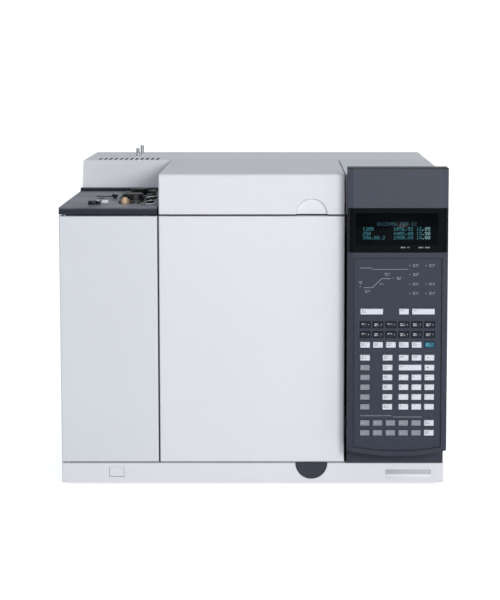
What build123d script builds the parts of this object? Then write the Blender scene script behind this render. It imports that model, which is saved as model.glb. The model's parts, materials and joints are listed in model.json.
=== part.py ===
"""Bench-top gas chromatograph, built as an assembly of separate named pieces.

Frame: millimetres, +Z up, -Y towards the user, origin under the centre of the overall box.
The heated oven fills the left three quarters behind a side-hung door. Sample inlets stand in
the dark plate above its left part, detectors stand under a rear-hinged lid, the electronics bay
is on the right behind the keypad fascia, and the gas controls are along the back under a cover.
"""

import os

from build123d import *

os.makedirs("parts", exist_ok=True)

# ---------------------------------------------------------------------------------------------
# Driving dimensions
# ---------------------------------------------------------------------------------------------
case_width = 580.0
case_depth = 490.0  # door face to rear panel
fascia_proud = 30.0  # control fascia in front of the door face
fitting_proud = 20.0  # gas fittings behind the rear panel
foot_height = 8.0
base_height = 30.0
side_inset = 1.0  # sheet panels stand this far inside the moulded ones

sheet = 1.5  # painted steel sheet
skin = 2.5  # moulded plastic skins
fit_gap = 0.4  # moulded pieces that slip past each other
seat_gap = 0.3  # a moving piece and what it rests on
screw_gap = 0.3  # covers laid edge to edge
running_gap = 0.05  # radial clearance of pins and shafts in their bores
seam_gap = 2.4  # shadow gap between the outer panels
panel_radius = 2.0

# Oven
oven_side = 59.0  # door edge to the oven mouth
oven_height = 280.0
oven_depth = 184.0  # door frame to fan shroud
fan_space = 40.0
oven_floor_z = 86.0
liner_sheet = 1.0
insulation = 50.0

# Door
fascia_seam = 3.5  # door and lid to the control fascia
door_sill_gap = 2.0
door_height = 375.0
skin_depth = 16.0
door_thickness = 46.0
plug_depth = 16.0
plug_clearance = 7.0
plug_radius = 12.0
gasket_width = 9.0
gasket_height = 3.7
gasket_offset = 6.0  # oven mouth to the gasket's inner edge
hinge_inset = 8.0  # pin centre from the door's left edge and from its face
hinge_pin_radius = 3.0
hinge_pin_reach = 14.0  # length of pin inside the door
hinge_washer_radius = 7.0

# Dark inlet plate and the top deck
left_bay_width = 147.0
plate_lip = 10.5
plate_step = 5.0  # raised rear part, up to the gas-control cover
plate_step_depth = 17.6
nose_foot_depth = 280.0  # door face to the foot of the cover's sloping front
nose_top_depth = 298.0

# Detector lid
lid_height = 60.3
lid_depth = 304.0
lid_wall = 2.2
lid_front_radius = 4.0
lid_pin_radius = 2.0
lid_pin_inset = 4.0  # hinge pin centre in front of the lid's rear edge
lid_pin_drop = 6.0  # and below its top
lid_eye_radius = 3.7
lid_lug_width = 6.0
lid_lug_inset = 19.0  # lid side to the lug's centre
scoop_inset = 49.6  # door edge to the centre line that thumb scoop and door release share
scoop_radius = 24.0
scoop_depth = 6.0

# Gas-control cover
rear_cover_height = 44.0  # above the plate's raised rear part
rear_seam_gap = 4.0  # behind the lid, which turns down into it

# Control fascia
fascia_width = 148.5
fascia_wall = 3.0
fascia_bevel_width = 8.0
fascia_bevel_depth = 2.5
fascia_depth = 40.0
fascia_top_lift = 12.0  # above the cover beside it
fascia_arc_end_z = 65.0
fascia_arc_sag = 8.4
window_low_z = 364.0
window_height = 66.0
window_thickness = 2.0
keypad_width = 131.5
keypad_top_z = 356.0
keypad_margin = 7.5  # faceplate edge above the fascia's lower arc
faceplate_thickness = 2.5
keypad_flange = 3.0
board_thickness = 1.6

# Keys, on one grid of columns and rows
key_width = 14.2
key_height = 8.4
key_pitch = 19.2
key_inset = 26.1  # fascia edge to the middle of the first column
key_proud = 1.5
front_recess = 0.3  # keys and window glass behind the fascia's front
key_flange = 1.2
key_gap = 0.8  # shadow gap round each key in the faceplate
key_flange_lap = 1.6
second_column_shift = 4.8  # right of the gap between the second and third columns
key_chamfer = 0.5
key_travel = 1.2
upper_row_z = (275.5, 255.5, 240.7, 225.5)
edit_row_top_z = 206.0
edit_row_pitch = 14.87
sequence_row_z = (107.1, 92.1)

# Buttons in the base trim
power_inset = 83.0  # case side to the middle of the button
power_z = 24.0
power_width = 22.0
power_height = 14.0
power_travel = 2.5
release_travel = 4.0
release_thickness = 4.5
button_stem_radius = 4.0

# Oven fan, motor and heater
fan_radius = 84.0
fan_hub_radius = 14.0
fan_blade_width = 22.0
fan_blade_count = 10
fan_shaft_radius = 4.0
motor_radius = 34.0
motor_length = 62.0
motor_plate = 3.0
heater_radius = 98.0
heater_wire_radius = 2.5
heater_turns = 3

# Inlets and detectors
inlet_inset = 106.0  # case side to the inlets
inlet_y = (-155.0, -65.0)
inlet_radius = 11.0
inlet_neck_radius = 8.0
cap_radius = 14.0
cap_height = 9.0
cap_sides = 12
cap_chamfer = 1.2
detector_inset = 118.0  # door edge to the detectors
detector_y = (-140.0, -30.0)
detector_radius = 15.0
stack_clearance = 2.0  # around inlets and detectors in the deck and insulation

# Gas lines, laid on the deck under the dark plate
line_radius = 1.0
line_lift = 4.0
line_bend = 7.0
line_spread = (30.0, 25.0)
line_notch = 3.0  # clearance round the lines where they pass a wall

# Column
column_radius = 85.0
column_bundle = 5.0
column_width = 22.0
column_front_gap = 90.0  # oven mouth to the column cage

# Rear services
duct_width = 90.0
duct_height = 60.0
duct_wall = 1.0
duct_insets = (51.0, 59.0)  # oven sides to the middle of the exhaust and the intake
duct_z = 318.0
flap_shaft_radius = 2.5
flap_offset = 5.0  # shaft centre behind the rear panel
flap_sheet = 1.5
thread_radius = 3.97
fitting_pitch = 30.0
fitting_count = 5
fitting_inset = 35.0  # case side to the first fitting
module_width = 40.0
module_pitch = 50.0
module_inset = 35.0  # case side to the middle of the first module
module_count = 4
module_height = 50.0
vent_tube_radius = 3.0
vent_tube_bore = 2.0
vent_tube_places = ((83.0, 88.0, 12.8), (86.0, 36.0, 14.3))  # from the side, from the rear, height above cover
module_front_gap = 42.0  # top of the cover's sloping front to the modules
module_rear_gap = 22.0

# ---------------------------------------------------------------------------------------------
# Derived places
# ---------------------------------------------------------------------------------------------
left_x = -case_width / 2
right_x = case_width / 2
fascia_front_y = -(fascia_proud + case_depth + fitting_proud) / 2
door_y = fascia_front_y + fascia_proud
rear_y = door_y + case_depth
base_top_z = foot_height + base_height
panel_x = (left_x + side_inset, right_x - side_inset)

door_right_x = right_x - fascia_width - fascia_seam
door_z = (base_top_z + door_sill_gap, base_top_z + door_sill_gap + door_height)
left_skin_x = (left_x, left_x + left_bay_width)
right_skin_x = (left_skin_x[1] + seam_gap, door_right_x)
pan_back_y = door_y + door_thickness
frame_y = pan_back_y + gasket_height + seat_gap
hinge_x = left_x + hinge_inset
hinge_y = door_y + hinge_inset

oven_mid_x = (left_x + door_right_x) / 2
oven_x = (left_x + oven_side, door_right_x - oven_side)
oven_width = oven_x[1] - oven_x[0]
exhaust_x = oven_x[0] + duct_insets[0]
intake_x = oven_x[1] - duct_insets[1]
duct_hole_z = (duct_z - duct_height / 2 - fit_gap, duct_z + duct_height / 2 + fit_gap)
oven_z = (oven_floor_z, oven_floor_z + oven_height)
oven_mid_z = sum(oven_z) / 2
shroud_y = frame_y + oven_depth
liner_back_y = shroud_y + fan_space + liner_sheet
insulation_back_y = liner_back_y + insulation

plate_low_z = door_z[1] + seam_gap
deck_z = (plate_low_z - sheet, plate_low_z)
plate_top_z = plate_low_z + plate_lip
step_top_z = plate_top_z + plate_step
line_z = deck_z[1] + line_lift
inlet_x = left_x + inlet_inset
detector_x = door_right_x - detector_inset
scoop_x = door_right_x - scoop_inset
power_x = left_x + power_inset
line_notch_x = (inlet_x - line_spread[0] - line_notch, inlet_x + line_spread[0] + line_notch)
line_notch_z = (deck_z[1], line_z + line_radius + line_notch / 2)
nose_foot_y = door_y + nose_foot_depth
nose_top_y = door_y + nose_top_depth
cover_top_z = step_top_z + rear_cover_height
module_y = (nose_top_y + module_front_gap, rear_y - module_rear_gap)
vent_tubes = [(left_x + x, rear_y - y, height) for x, y, height in vent_tube_places]

lid_z = (deck_z[1] + seat_gap, deck_z[1] + seat_gap + lid_height)
lid_x = right_skin_x
lid_back_y = door_y + lid_depth
lid_pin_y = lid_back_y - lid_pin_inset
lid_pin_z = lid_z[1] - lid_pin_drop
rear_cover_y = lid_back_y + rear_seam_gap
lug_x = (lid_x[0] + lid_lug_inset, lid_x[1] - lid_lug_inset)

fascia_x = (right_x - fascia_width, right_x)
fascia_mid_x = sum(fascia_x) / 2
first_key_x = fascia_x[0] + key_inset
fascia_back_y = fascia_front_y + fascia_depth
fascia_top_z = cover_top_z + fascia_top_lift
bay_x = fascia_x[0] - sheet
frame_right_x = door_right_x - side_inset / 2


def block(x, y, z, mode=Mode.ADD):
    """Adds or cuts the box between (low, high) pairs on each axis."""
    with Locations(((x[0] + x[1]) / 2, (y[0] + y[1]) / 2, (z[0] + z[1]) / 2)):
        Box(x[1] - x[0], y[1] - y[0], z[1] - z[0], mode=mode)


def inset(span, amount):
    """The (low, high) pair pulled in by an amount at both ends."""
    return (span[0] + amount, span[1] - amount)


def front_plane(y):
    """Sketch plane facing the user: local x is X, local y is Z, extruding goes towards -Y."""
    return Plane(origin=(0, y, 0), x_dir=(1, 0, 0), z_dir=(0, -1, 0))


def side_plane(x):
    """Sketch plane across the case: local x is Y, local y is Z, extruding goes towards +X."""
    return Plane(origin=(x, 0, 0), x_dir=(0, 1, 0), z_dir=(1, 0, 0))


def cylinder_y(x, z, radius, y, mode=Mode.ADD):
    """Adds or cuts a round bar along Y between a (low, high) pair."""
    with Locations((x, (y[0] + y[1]) / 2, z)):
        Cylinder(radius, y[1] - y[0], rotation=(90, 0, 0), mode=mode)


def cylinder_z(x, y, radius, z, mode=Mode.ADD):
    """Adds or cuts an upright round bar between a (low, high) pair."""
    with Locations((x, y, (z[0] + z[1]) / 2)):
        Cylinder(radius, z[1] - z[0], mode=mode)


def cylinder_x(y, z, radius, x, mode=Mode.ADD):
    """Adds or cuts a round bar along X between a (low, high) pair."""
    with Locations(((x[0] + x[1]) / 2, y, z)):
        Cylinder(radius, x[1] - x[0], rotation=(0, 90, 0), mode=mode)


def louvres(plane, centre, slot, pitch, count, thickness):
    """Cuts a grid of upright punched slots through a sheet panel."""
    with BuildSketch(plane) as slots:
        with Locations(centre):
            with GridLocations(pitch[0], pitch[1], count[0], count[1]):
                Rectangle(slot[1], slot[0])
    extrude(slots.sketch, amount=thickness, both=True, mode=Mode.SUBTRACT)


def save(piece, name):
    """Labels a finished piece and writes its STEP file."""
    piece.part.label = name
    export_step(piece.part, f"parts/{name}.step")


# ---------------------------------------------------------------------------------------------
# Base: tray, moulded front trim, feet
# ---------------------------------------------------------------------------------------------
trim_depth = 12.0
trim_radius = 1.5
tray_y = door_y + trim_depth
tray_radius = 3.0
power_stem_radius = 2.5
release_stem_z = base_top_z - scoop_radius / 2
foot_radius = 18.0
foot_inset = 55.0

with BuildPart() as base_tray:
    block(panel_x, (tray_y, rear_y), (foot_height, base_top_z))
    fillet(base_tray.edges().filter_by(Axis.Z), radius=tray_radius)
    offset(amount=-sheet, openings=base_tray.faces().sort_by(Axis.Z)[-1])
    cylinder_y(scoop_x, release_stem_z, button_stem_radius + seat_gap, (tray_y, tray_y + sheet), Mode.SUBTRACT)
    cylinder_y(power_x, power_z, power_stem_radius + seat_gap, (tray_y, tray_y + sheet), Mode.SUBTRACT)
    louvres(Plane.XY.offset(foot_height), (fascia_mid_x, 40), (60, 5), (14, 90), (7, 2), sheet)
save(base_tray, "base_tray")

with BuildPart() as base_trim:
    block((left_x, panel_x[1]), (door_y, tray_y), (foot_height, base_top_z))
    fillet(base_trim.edges().group_by(Axis.Y)[0], radius=trim_radius)
    offset(amount=-skin, openings=base_trim.faces().sort_by(Axis.Y)[-1])
    block(
        (left_x, hinge_x + hinge_pin_radius + skin),
        (door_y + skin / 2, tray_y),
        (foot_height + skin, base_top_z),
    )
    block(
        (power_x - power_width / 2 - fit_gap - sheet, power_x + power_width / 2 + fit_gap + sheet),
        (door_y, tray_y),
        (power_z - power_height / 2 - fit_gap - sheet, power_z + power_height / 2 + fit_gap + sheet),
    )
    block(
        (power_x - power_width / 2 - fit_gap, power_x + power_width / 2 + fit_gap),
        (door_y, tray_y),
        (power_z - power_height / 2 - fit_gap, power_z + power_height / 2 + fit_gap),
        mode=Mode.SUBTRACT,
    )
    cylinder_z(hinge_x, hinge_y, hinge_pin_radius + running_gap, (foot_height, base_top_z), Mode.SUBTRACT)
    cylinder_y(
        scoop_x,
        base_top_z,
        scoop_radius + fit_gap,
        (door_y, door_y + release_thickness + release_travel + fit_gap),
        Mode.SUBTRACT,
    )
save(base_trim, "base_front_trim")

with BuildPart() as feet:
    with BuildSketch(Plane.XY):
        with Locations((0, (tray_y + rear_y) / 2)):
            with GridLocations(case_width - 2 * foot_inset, rear_y - tray_y - 2 * foot_inset, 2, 2):
                Circle(foot_radius)
    extrude(amount=foot_height, taper=-6)
save(feet, "rubber_feet")

# ---------------------------------------------------------------------------------------------
# Case panels
# ---------------------------------------------------------------------------------------------
panel_return = 12.0
rear_panel_y = (rear_y - sheet, rear_y)
side_z = (base_top_z + screw_gap, deck_z[0] - screw_gap)
side_y = (frame_y, rear_panel_y[0] - screw_gap)
louvre_slot = (46.0, 4.0)

with BuildPart() as left_panel:
    block((panel_x[0], panel_x[0] + sheet), side_y, side_z)
    block((panel_x[0], panel_x[0] + panel_return), (side_y[1] - sheet, side_y[1]), side_z)
    for z in (side_z[0], side_z[1] - sheet):
        block((panel_x[0], panel_x[0] + panel_return), (insulation_back_y + fit_gap, side_y[1]), (z, z + sheet))
    louvres(side_plane(panel_x[0]), (rear_y - 100, 110), louvre_slot, (11, 60), (10, 2), sheet)
save(left_panel, "left_side_panel")

bay_cover_y = (fascia_back_y + screw_gap, side_y[1])
bay_cover_back_y = rear_cover_y - screw_gap

with BuildPart() as bay_cover:
    with BuildSketch(front_plane(bay_cover_y[1])):
        with BuildLine():
            Polyline(
                (panel_x[1], side_z[0]),
                (panel_x[1], cover_top_z),
                (bay_x, cover_top_z),
                (bay_x, plate_low_z + screw_gap),
                (bay_x + sheet, plate_low_z + screw_gap),
                (bay_x + sheet, cover_top_z - sheet),
                (panel_x[1] - sheet, cover_top_z - sheet),
                (panel_x[1] - sheet, side_z[0]),
                close=True,
            )
        make_face()
    extrude(amount=bay_cover_y[1] - bay_cover_y[0])
    top_edges = bay_cover.faces().sort_by(Axis.Z)[-1].edges().filter_by(Axis.Y)
    fillet(top_edges, radius=sheet * 0.9)
    block(
        (bay_x - 1, right_x),
        (bay_cover_back_y, rear_y),
        (side_z[1], cover_top_z + 1),
        mode=Mode.SUBTRACT,
    )
    louvres(side_plane(panel_x[1]), (rear_y - 130, 120), louvre_slot, (11, 60), (14, 3), sheet)
save(bay_cover, "electronics_cover")

# Gas-control cover: sloping nose over the inlet bay, upright front behind the lid.
vent_slot = (40.0, 4.2)
vent_pitch = 8.8
vent_count = 12
vent_first_x = left_x + 26.5
vent_set_back = 7.0
cover_low_z = deck_z[1]

with BuildPart() as gas_cover:
    with BuildSketch(side_plane(panel_x[0])):
        with BuildLine():
            Polyline(
                (nose_foot_y, cover_low_z),
                (nose_foot_y, step_top_z),
                (nose_top_y, cover_top_z),
                (rear_y, cover_top_z),
                (rear_y, cover_low_z),
                close=True,
            )
        make_face()
    extrude(amount=panel_x[1] - panel_x[0])
    block(
        (left_skin_x[1], right_x),
        (nose_foot_y - 1, rear_cover_y),
        (cover_low_z - 1, cover_top_z + 1),
        mode=Mode.SUBTRACT,
    )
    fillet(gas_cover.faces().sort_by(Axis.Z)[-1].edges(), radius=panel_radius)
    offset(amount=-sheet, openings=gas_cover.faces().sort_by(Axis.Z)[0])
    vent_mid_x = vent_first_x + vent_pitch * (vent_count - 1) / 2
    with BuildSketch(Plane.XY.offset(cover_top_z)):
        with Locations((vent_mid_x, nose_top_y + vent_set_back + vent_slot[0] / 2)):
            with GridLocations(vent_pitch, 1, vent_count, 1):
                SlotOverall(*vent_slot, rotation=90)
    extrude(amount=-sheet, mode=Mode.SUBTRACT)
    for tube_x, tube_y, tube_height in vent_tubes:
        cylinder_z(
            tube_x,
            tube_y,
            vent_tube_radius + fit_gap,
            (cover_top_z - sheet, cover_top_z),
            Mode.SUBTRACT,
        )
    for index in range(fitting_count):
        cylinder_y(
            left_x + fitting_inset + index * fitting_pitch,
            (cover_low_z + cover_top_z) / 2,
            thread_radius + fit_gap,
            rear_panel_y,
            Mode.SUBTRACT,
        )
    block(line_notch_x, (nose_foot_y, nose_foot_y + 2 * sheet), line_notch_z, Mode.SUBTRACT)
save(gas_cover, "gas_control_cover")

# Dark plate round the sample inlets.
plate_x = left_skin_x
plate_y = (door_y, nose_foot_y - screw_gap)
plate_step_y = plate_y[1] - plate_step_depth
plate_radius = 3.0
inlet_opening_reach = (24.0, 30.0)  # left and right of the inlets
inlet_opening_x = (inlet_x - inlet_opening_reach[0], inlet_x + inlet_opening_reach[1])
inlet_opening_y = (inlet_y[0] - 26, inlet_y[1] + 26)
opening_radius = 6.0

with BuildPart() as inlet_plate:
    block(plate_x, plate_y, (plate_low_z, plate_top_z))
    fillet(inlet_plate.edges().group_by(Axis.Y)[0].group_by(Axis.Z)[-1], radius=plate_radius)
    block(plate_x, (plate_step_y, plate_y[1]), (plate_top_z - 1, step_top_z))
    block(inset(plate_x, skin), inset(plate_y, skin), (plate_low_z, plate_top_z - skin), Mode.SUBTRACT)
    block(
        inset(plate_x, skin),
        inset((plate_step_y, plate_y[1]), skin),
        (plate_low_z, step_top_z - skin),
        Mode.SUBTRACT,
    )
    with BuildSketch(Plane.XY.offset(plate_top_z)):
        with Locations((sum(inlet_opening_x) / 2, sum(inlet_opening_y) / 2)):
            RectangleRounded(
                inlet_opening_x[1] - inlet_opening_x[0],
                inlet_opening_y[1] - inlet_opening_y[0],
                opening_radius,
            )
    extrude(amount=-skin, mode=Mode.SUBTRACT)
    block(line_notch_x, (plate_y[1] - skin, plate_y[1]), line_notch_z, Mode.SUBTRACT)
save(inlet_plate, "inlet_plate")

# ---------------------------------------------------------------------------------------------
# Oven: front frame, liner, insulation, deck, bulkhead
# ---------------------------------------------------------------------------------------------
frame_depth = 18.0
frame_x = (panel_x[0] + sheet + screw_gap, frame_right_x)
frame_z = (base_top_z, deck_z[0])
liner_x = (oven_x[0] - liner_sheet, oven_x[1] + liner_sheet)
liner_z = (oven_z[0] - liner_sheet, oven_z[1] + liner_sheet)
mouth_rim = 8.0

with BuildPart() as front_frame:
    block(frame_x, (frame_y, frame_y + frame_depth), frame_z)
    offset(amount=-sheet, openings=front_frame.faces().sort_by(Axis.Y)[-1])
    block(
        (oven_x[0] - mouth_rim, oven_x[1] + mouth_rim),
        (frame_y, frame_y + sheet + 2),
        (oven_z[0] - mouth_rim, oven_z[1] + mouth_rim),
    )
    block(oven_x, (frame_y, frame_y + frame_depth), oven_z, Mode.SUBTRACT)
save(front_frame, "oven_front_frame")

liner_y = (frame_y + sheet + 2, liner_back_y)
stack_sites = [(inlet_x, y, inlet_radius) for y in inlet_y]
stack_sites += [(detector_x, y, detector_radius) for y in detector_y]


def stack_holes(z, clearance):
    """Cuts the holes that inlets and detectors pass through."""
    for x, y, radius in stack_sites:
        cylinder_z(x, y, radius + clearance, z, Mode.SUBTRACT)


def duct_holes(y, clearance):
    """Cuts the exhaust and intake duct openings through a rear wall."""
    for x in (exhaust_x, intake_x):
        block(
            (x - duct_width / 2 - clearance, x + duct_width / 2 + clearance),
            y,
            (duct_z - duct_height / 2 - clearance, duct_z + duct_height / 2 + clearance),
            mode=Mode.SUBTRACT,
        )


with BuildPart() as liner:
    block(liner_x, liner_y, liner_z)
    offset(amount=-liner_sheet, openings=liner.faces().sort_by(Axis.Y)[0])
    cylinder_y(oven_mid_x, oven_mid_z, fan_shaft_radius + 3, (liner_back_y - liner_sheet, liner_back_y), Mode.SUBTRACT)
    stack_holes((liner_z[1] - liner_sheet, liner_z[1]), stack_clearance)
    duct_holes((liner_back_y - liner_sheet, liner_back_y), fit_gap)
save(liner, "oven_liner")

board_x = (liner_x[0] - insulation, liner_x[1] + insulation)
board_z = (base_top_z, deck_z[0])
board_y = (frame_y + frame_depth + fit_gap, liner_back_y)
back_board_y = (liner_back_y + fit_gap, insulation_back_y)
duct_reach = duct_width / 2 + fit_gap
back_board_spans = (
    (board_x[0], exhaust_x - duct_reach),
    (exhaust_x + duct_reach, intake_x - duct_reach),
    (intake_x + duct_reach, board_x[1]),
)
with BuildPart() as boards:
    block((board_x[0], liner_x[0]), board_y, board_z)
    block((liner_x[1], board_x[1]), board_y, board_z)
    block(inset(liner_x, fit_gap), board_y, (board_z[0], liner_z[0]))
    block(inset(liner_x, fit_gap), board_y, (liner_z[1], board_z[1]))
    block(board_x, back_board_y, (board_z[0], duct_hole_z[0]))
    block(board_x, back_board_y, (duct_hole_z[1], board_z[1]))
    for span in back_board_spans:
        block(span, back_board_y, inset(duct_hole_z, fit_gap))
    cylinder_y(
        oven_mid_x,
        oven_mid_z,
        fan_shaft_radius + 3,
        (liner_back_y, insulation_back_y),
        Mode.SUBTRACT,
    )
    stack_holes((liner_z[1], board_z[1]), stack_clearance)
save(boards, "oven_insulation")

eye_gap = 0.5
eye_foot = 12.0
rod_overhang = 1.5
eye_x = (
    lug_x[0] - lid_lug_width / 2 - eye_gap - 2 * sheet,
    lug_x[1] + lid_lug_width / 2 + eye_gap,
)
deck_x = (frame_x[0], frame_right_x)
deck_y = (frame_y, rear_panel_y[0] - screw_gap)

with BuildPart() as deck:
    block(deck_x, deck_y, deck_z)
    stack_holes(deck_z, stack_clearance)
    for x in eye_x:
        with BuildSketch(side_plane(x)):
            with Locations((lid_pin_y, lid_pin_z)):
                Circle(lid_eye_radius)
            with BuildLine():
                Polyline(
                    (lid_pin_y - eye_foot, deck_z[0]),
                    (lid_pin_y - lid_eye_radius, lid_pin_z),
                    (lid_pin_y + lid_eye_radius, lid_pin_z),
                    (lid_pin_y + lid_eye_radius, deck_z[0]),
                    close=True,
                )
            make_face()
            with Locations((lid_pin_y, lid_pin_z)):
                Circle(lid_pin_radius + running_gap, mode=Mode.SUBTRACT)
        extrude(amount=2 * sheet)
save(deck, "top_deck")

with BuildPart() as lid_rod:
    cylinder_x(
        lid_pin_y,
        lid_pin_z,
        lid_pin_radius,
        (eye_x[0] - rod_overhang, eye_x[1] + 2 * sheet + rod_overhang),
    )
save(lid_rod, "lid_hinge_rod")

bulkhead_x = (board_x[1] + screw_gap, board_x[1] + screw_gap + sheet)
with BuildPart() as bulkhead:
    block(bulkhead_x, (frame_y + frame_depth + fit_gap, deck_y[1]), (base_top_z - base_height + sheet, deck_z[0]))
    louvres(side_plane(bulkhead_x[0]), (rear_y - 70, 90), louvre_slot, (12, 60), (5, 1), sheet)
save(bulkhead, "bulkhead")

# ---------------------------------------------------------------------------------------------
# Inside the oven: shroud, heater, fan and motor, column
# ---------------------------------------------------------------------------------------------
shroud_gap = 0.4
shroud_lip = 10.0
grille_slot = (30.0, 5.0)
grille_ring_radius = 34.0
grille_count = 16

with BuildPart() as shroud:
    block(inset(oven_x, shroud_gap), (shroud_y, shroud_y + shroud_lip), inset(oven_z, shroud_gap))
    offset(amount=-liner_sheet, openings=shroud.faces().sort_by(Axis.Y)[-1])
    with BuildSketch(front_plane(shroud_y + liner_sheet)):
        with Locations((oven_mid_x, oven_mid_z)):
            with PolarLocations(grille_ring_radius, grille_count):
                Rectangle(*grille_slot)
        with Locations((oven_mid_x, oven_mid_z)):
            with GridLocations(oven_width - 60, oven_height - 60, 2, 2):
                RectangleRounded(46, 46, 8)
    extrude(amount=liner_sheet, mode=Mode.SUBTRACT)
save(shroud, "fan_shroud")

heater_y = shroud_y + 10
heater_pitch = 9.0
heater_post = (14.0, 4.0)
with BuildPart() as heater:
    for turn in range(heater_turns):
        with BuildSketch(front_plane(heater_y + turn * heater_pitch + heater_wire_radius)):
            with Locations((oven_mid_x, oven_mid_z)):
                Circle(heater_radius + heater_wire_radius)
                Circle(heater_radius - heater_wire_radius, mode=Mode.SUBTRACT)
        extrude(amount=2 * heater_wire_radius)
    with BuildSketch(front_plane(liner_back_y - liner_sheet)):
        with Locations((oven_mid_x, oven_mid_z)):
            with PolarLocations(heater_radius, 4, start_angle=45):
                Rectangle(*heater_post)
    extrude(amount=liner_back_y - liner_sheet - heater_y + 2 * heater_wire_radius)
save(heater, "heater_coil")

fan_y = (shroud_y + 8, shroud_y + 8 + fan_blade_width)
blade_sheet = 1.2
motor_y = insulation_back_y + motor_plate
motor_shaft_reach = 20.0
with BuildPart() as fan:
    cylinder_y(oven_mid_x, oven_mid_z, fan_radius, (fan_y[1] - blade_sheet, fan_y[1]))
    cylinder_y(oven_mid_x, oven_mid_z, fan_hub_radius, fan_y)
    with BuildSketch(front_plane(fan_y[1] - blade_sheet)):
        with Locations((oven_mid_x, oven_mid_z)):
            with PolarLocations((fan_radius + fan_hub_radius) / 2, fan_blade_count):
                Rectangle(fan_radius - fan_hub_radius - 12, blade_sheet * 1.5, rotation=12)
    extrude(amount=fan_blade_width - blade_sheet)
    cylinder_y(oven_mid_x, oven_mid_z, fan_shaft_radius, (fan_y[1], motor_y + motor_shaft_reach))
save(fan, "oven_fan")

motor_fins = 8
with BuildPart() as motor:
    with BuildSketch(front_plane(motor_y)):
        with Locations((oven_mid_x, oven_mid_z)):
            RectangleRounded(3 * motor_radius, 3 * motor_radius, 8)
    extrude(amount=motor_plate)
    cylinder_y(oven_mid_x, oven_mid_z, motor_radius, (motor_y, motor_y + motor_length))
    with BuildSketch(front_plane(motor_y + motor_length - 8)):
        with Locations((oven_mid_x, oven_mid_z)):
            with PolarLocations(motor_radius, motor_fins):
                Rectangle(8, 3)
    extrude(amount=motor_length - 16)
    cylinder_y(
        oven_mid_x,
        oven_mid_z,
        fan_shaft_radius + running_gap,
        (insulation_back_y, motor_y + motor_shaft_reach + 1),
        Mode.SUBTRACT,
    )
save(motor, "fan_motor")

cage_y = (frame_y + column_front_gap, frame_y + column_front_gap + column_width + 8)
cage_bar = 4.0
cage_reach = column_radius + column_bundle + cage_bar
hook_x = 40.0
with BuildPart() as cage:
    for y in (cage_y[0], cage_y[1] - cage_bar):
        with BuildSketch(front_plane(y + cage_bar)):
            with Locations((oven_mid_x, oven_mid_z)):
                Circle(column_radius - column_bundle - 1)
                Circle(column_radius - column_bundle - 1 - cage_bar, mode=Mode.SUBTRACT)
                Rectangle(2 * cage_reach, cage_bar)
                Rectangle(cage_bar, 2 * cage_reach)
        extrude(amount=cage_bar)
    with BuildSketch(front_plane(cage_y[1])):
        with Locations((oven_mid_x, oven_mid_z)):
            with PolarLocations(cage_reach - cage_bar / 2, 4):
                Rectangle(cage_bar, cage_bar * 2)
    extrude(amount=cage_y[1] - cage_y[0])
    for x in (oven_mid_x - cage_reach + cage_bar / 2, oven_mid_x + cage_reach - cage_bar / 2):
        block(
            (x - cage_bar / 2, x + cage_bar / 2),
            (cage_y[1] - cage_bar, shroud_y),
            (oven_mid_z - cage_bar, oven_mid_z + cage_bar),
        )
save(cage, "column_cage")

coil_y = inset(cage_y, cage_bar + seat_gap)
with BuildPart() as column:
    with BuildSketch(front_plane(coil_y[1])):
        with Locations((oven_mid_x, oven_mid_z)):
            Circle(column_radius + column_bundle / 2)
            Circle(column_radius - column_bundle / 2, mode=Mode.SUBTRACT)
    extrude(amount=coil_y[1] - coil_y[0])
    chamfer(column.edges(), length=column_bundle / 4)
save(column, "column_coil")

with BuildPart() as ducts:
    for x in (exhaust_x, intake_x):
        block(
            (x - duct_width / 2, x + duct_width / 2),
            (liner_back_y - liner_sheet, rear_panel_y[0]),
            (duct_z - duct_height / 2, duct_z + duct_height / 2),
        )
        block(
            (x - duct_width / 2 + duct_wall, x + duct_width / 2 - duct_wall),
            (liner_back_y - liner_sheet, rear_panel_y[0]),
            (duct_z - duct_height / 2 + duct_wall, duct_z + duct_height / 2 - duct_wall),
            mode=Mode.SUBTRACT,
        )
save(ducts, "oven_ducts")

# ---------------------------------------------------------------------------------------------
# Sample inlets with their turn-top caps, detectors, gas lines and controls
# ---------------------------------------------------------------------------------------------
inlet_low_z = oven_z[1] - 14
inlet_tip_radius = 4.0
flange_size = 36.0
flange_thickness = 2.0
inlet_top_z = plate_top_z + 4.0
neck_height = 8.0
collar_height = 5.0

with BuildPart() as inlets:
    for y in inlet_y:
        cylinder_z(inlet_x, y, inlet_tip_radius, (inlet_low_z, liner_z[1]))
        cylinder_z(inlet_x, y, inlet_radius, (liner_z[1], inlet_top_z))
        block(
            (inlet_x - flange_size / 2, inlet_x + flange_size / 2),
            (y - flange_size / 2, y + flange_size / 2),
            (deck_z[1], deck_z[1] + flange_thickness),
        )
        with BuildSketch(Plane.XY.offset(line_z + line_radius + seat_gap)):
            with Locations((inlet_x, y)):
                RegularPolygon(inlet_radius + 3, 6)
        extrude(amount=collar_height)
        cylinder_z(inlet_x, y, inlet_neck_radius, (inlet_top_z, inlet_top_z + neck_height))
        cylinder_z(inlet_x, y, inlet_neck_radius / 5, (inlet_low_z, inlet_top_z + neck_height), Mode.SUBTRACT)
save(inlets, "inlet_bodies")

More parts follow.
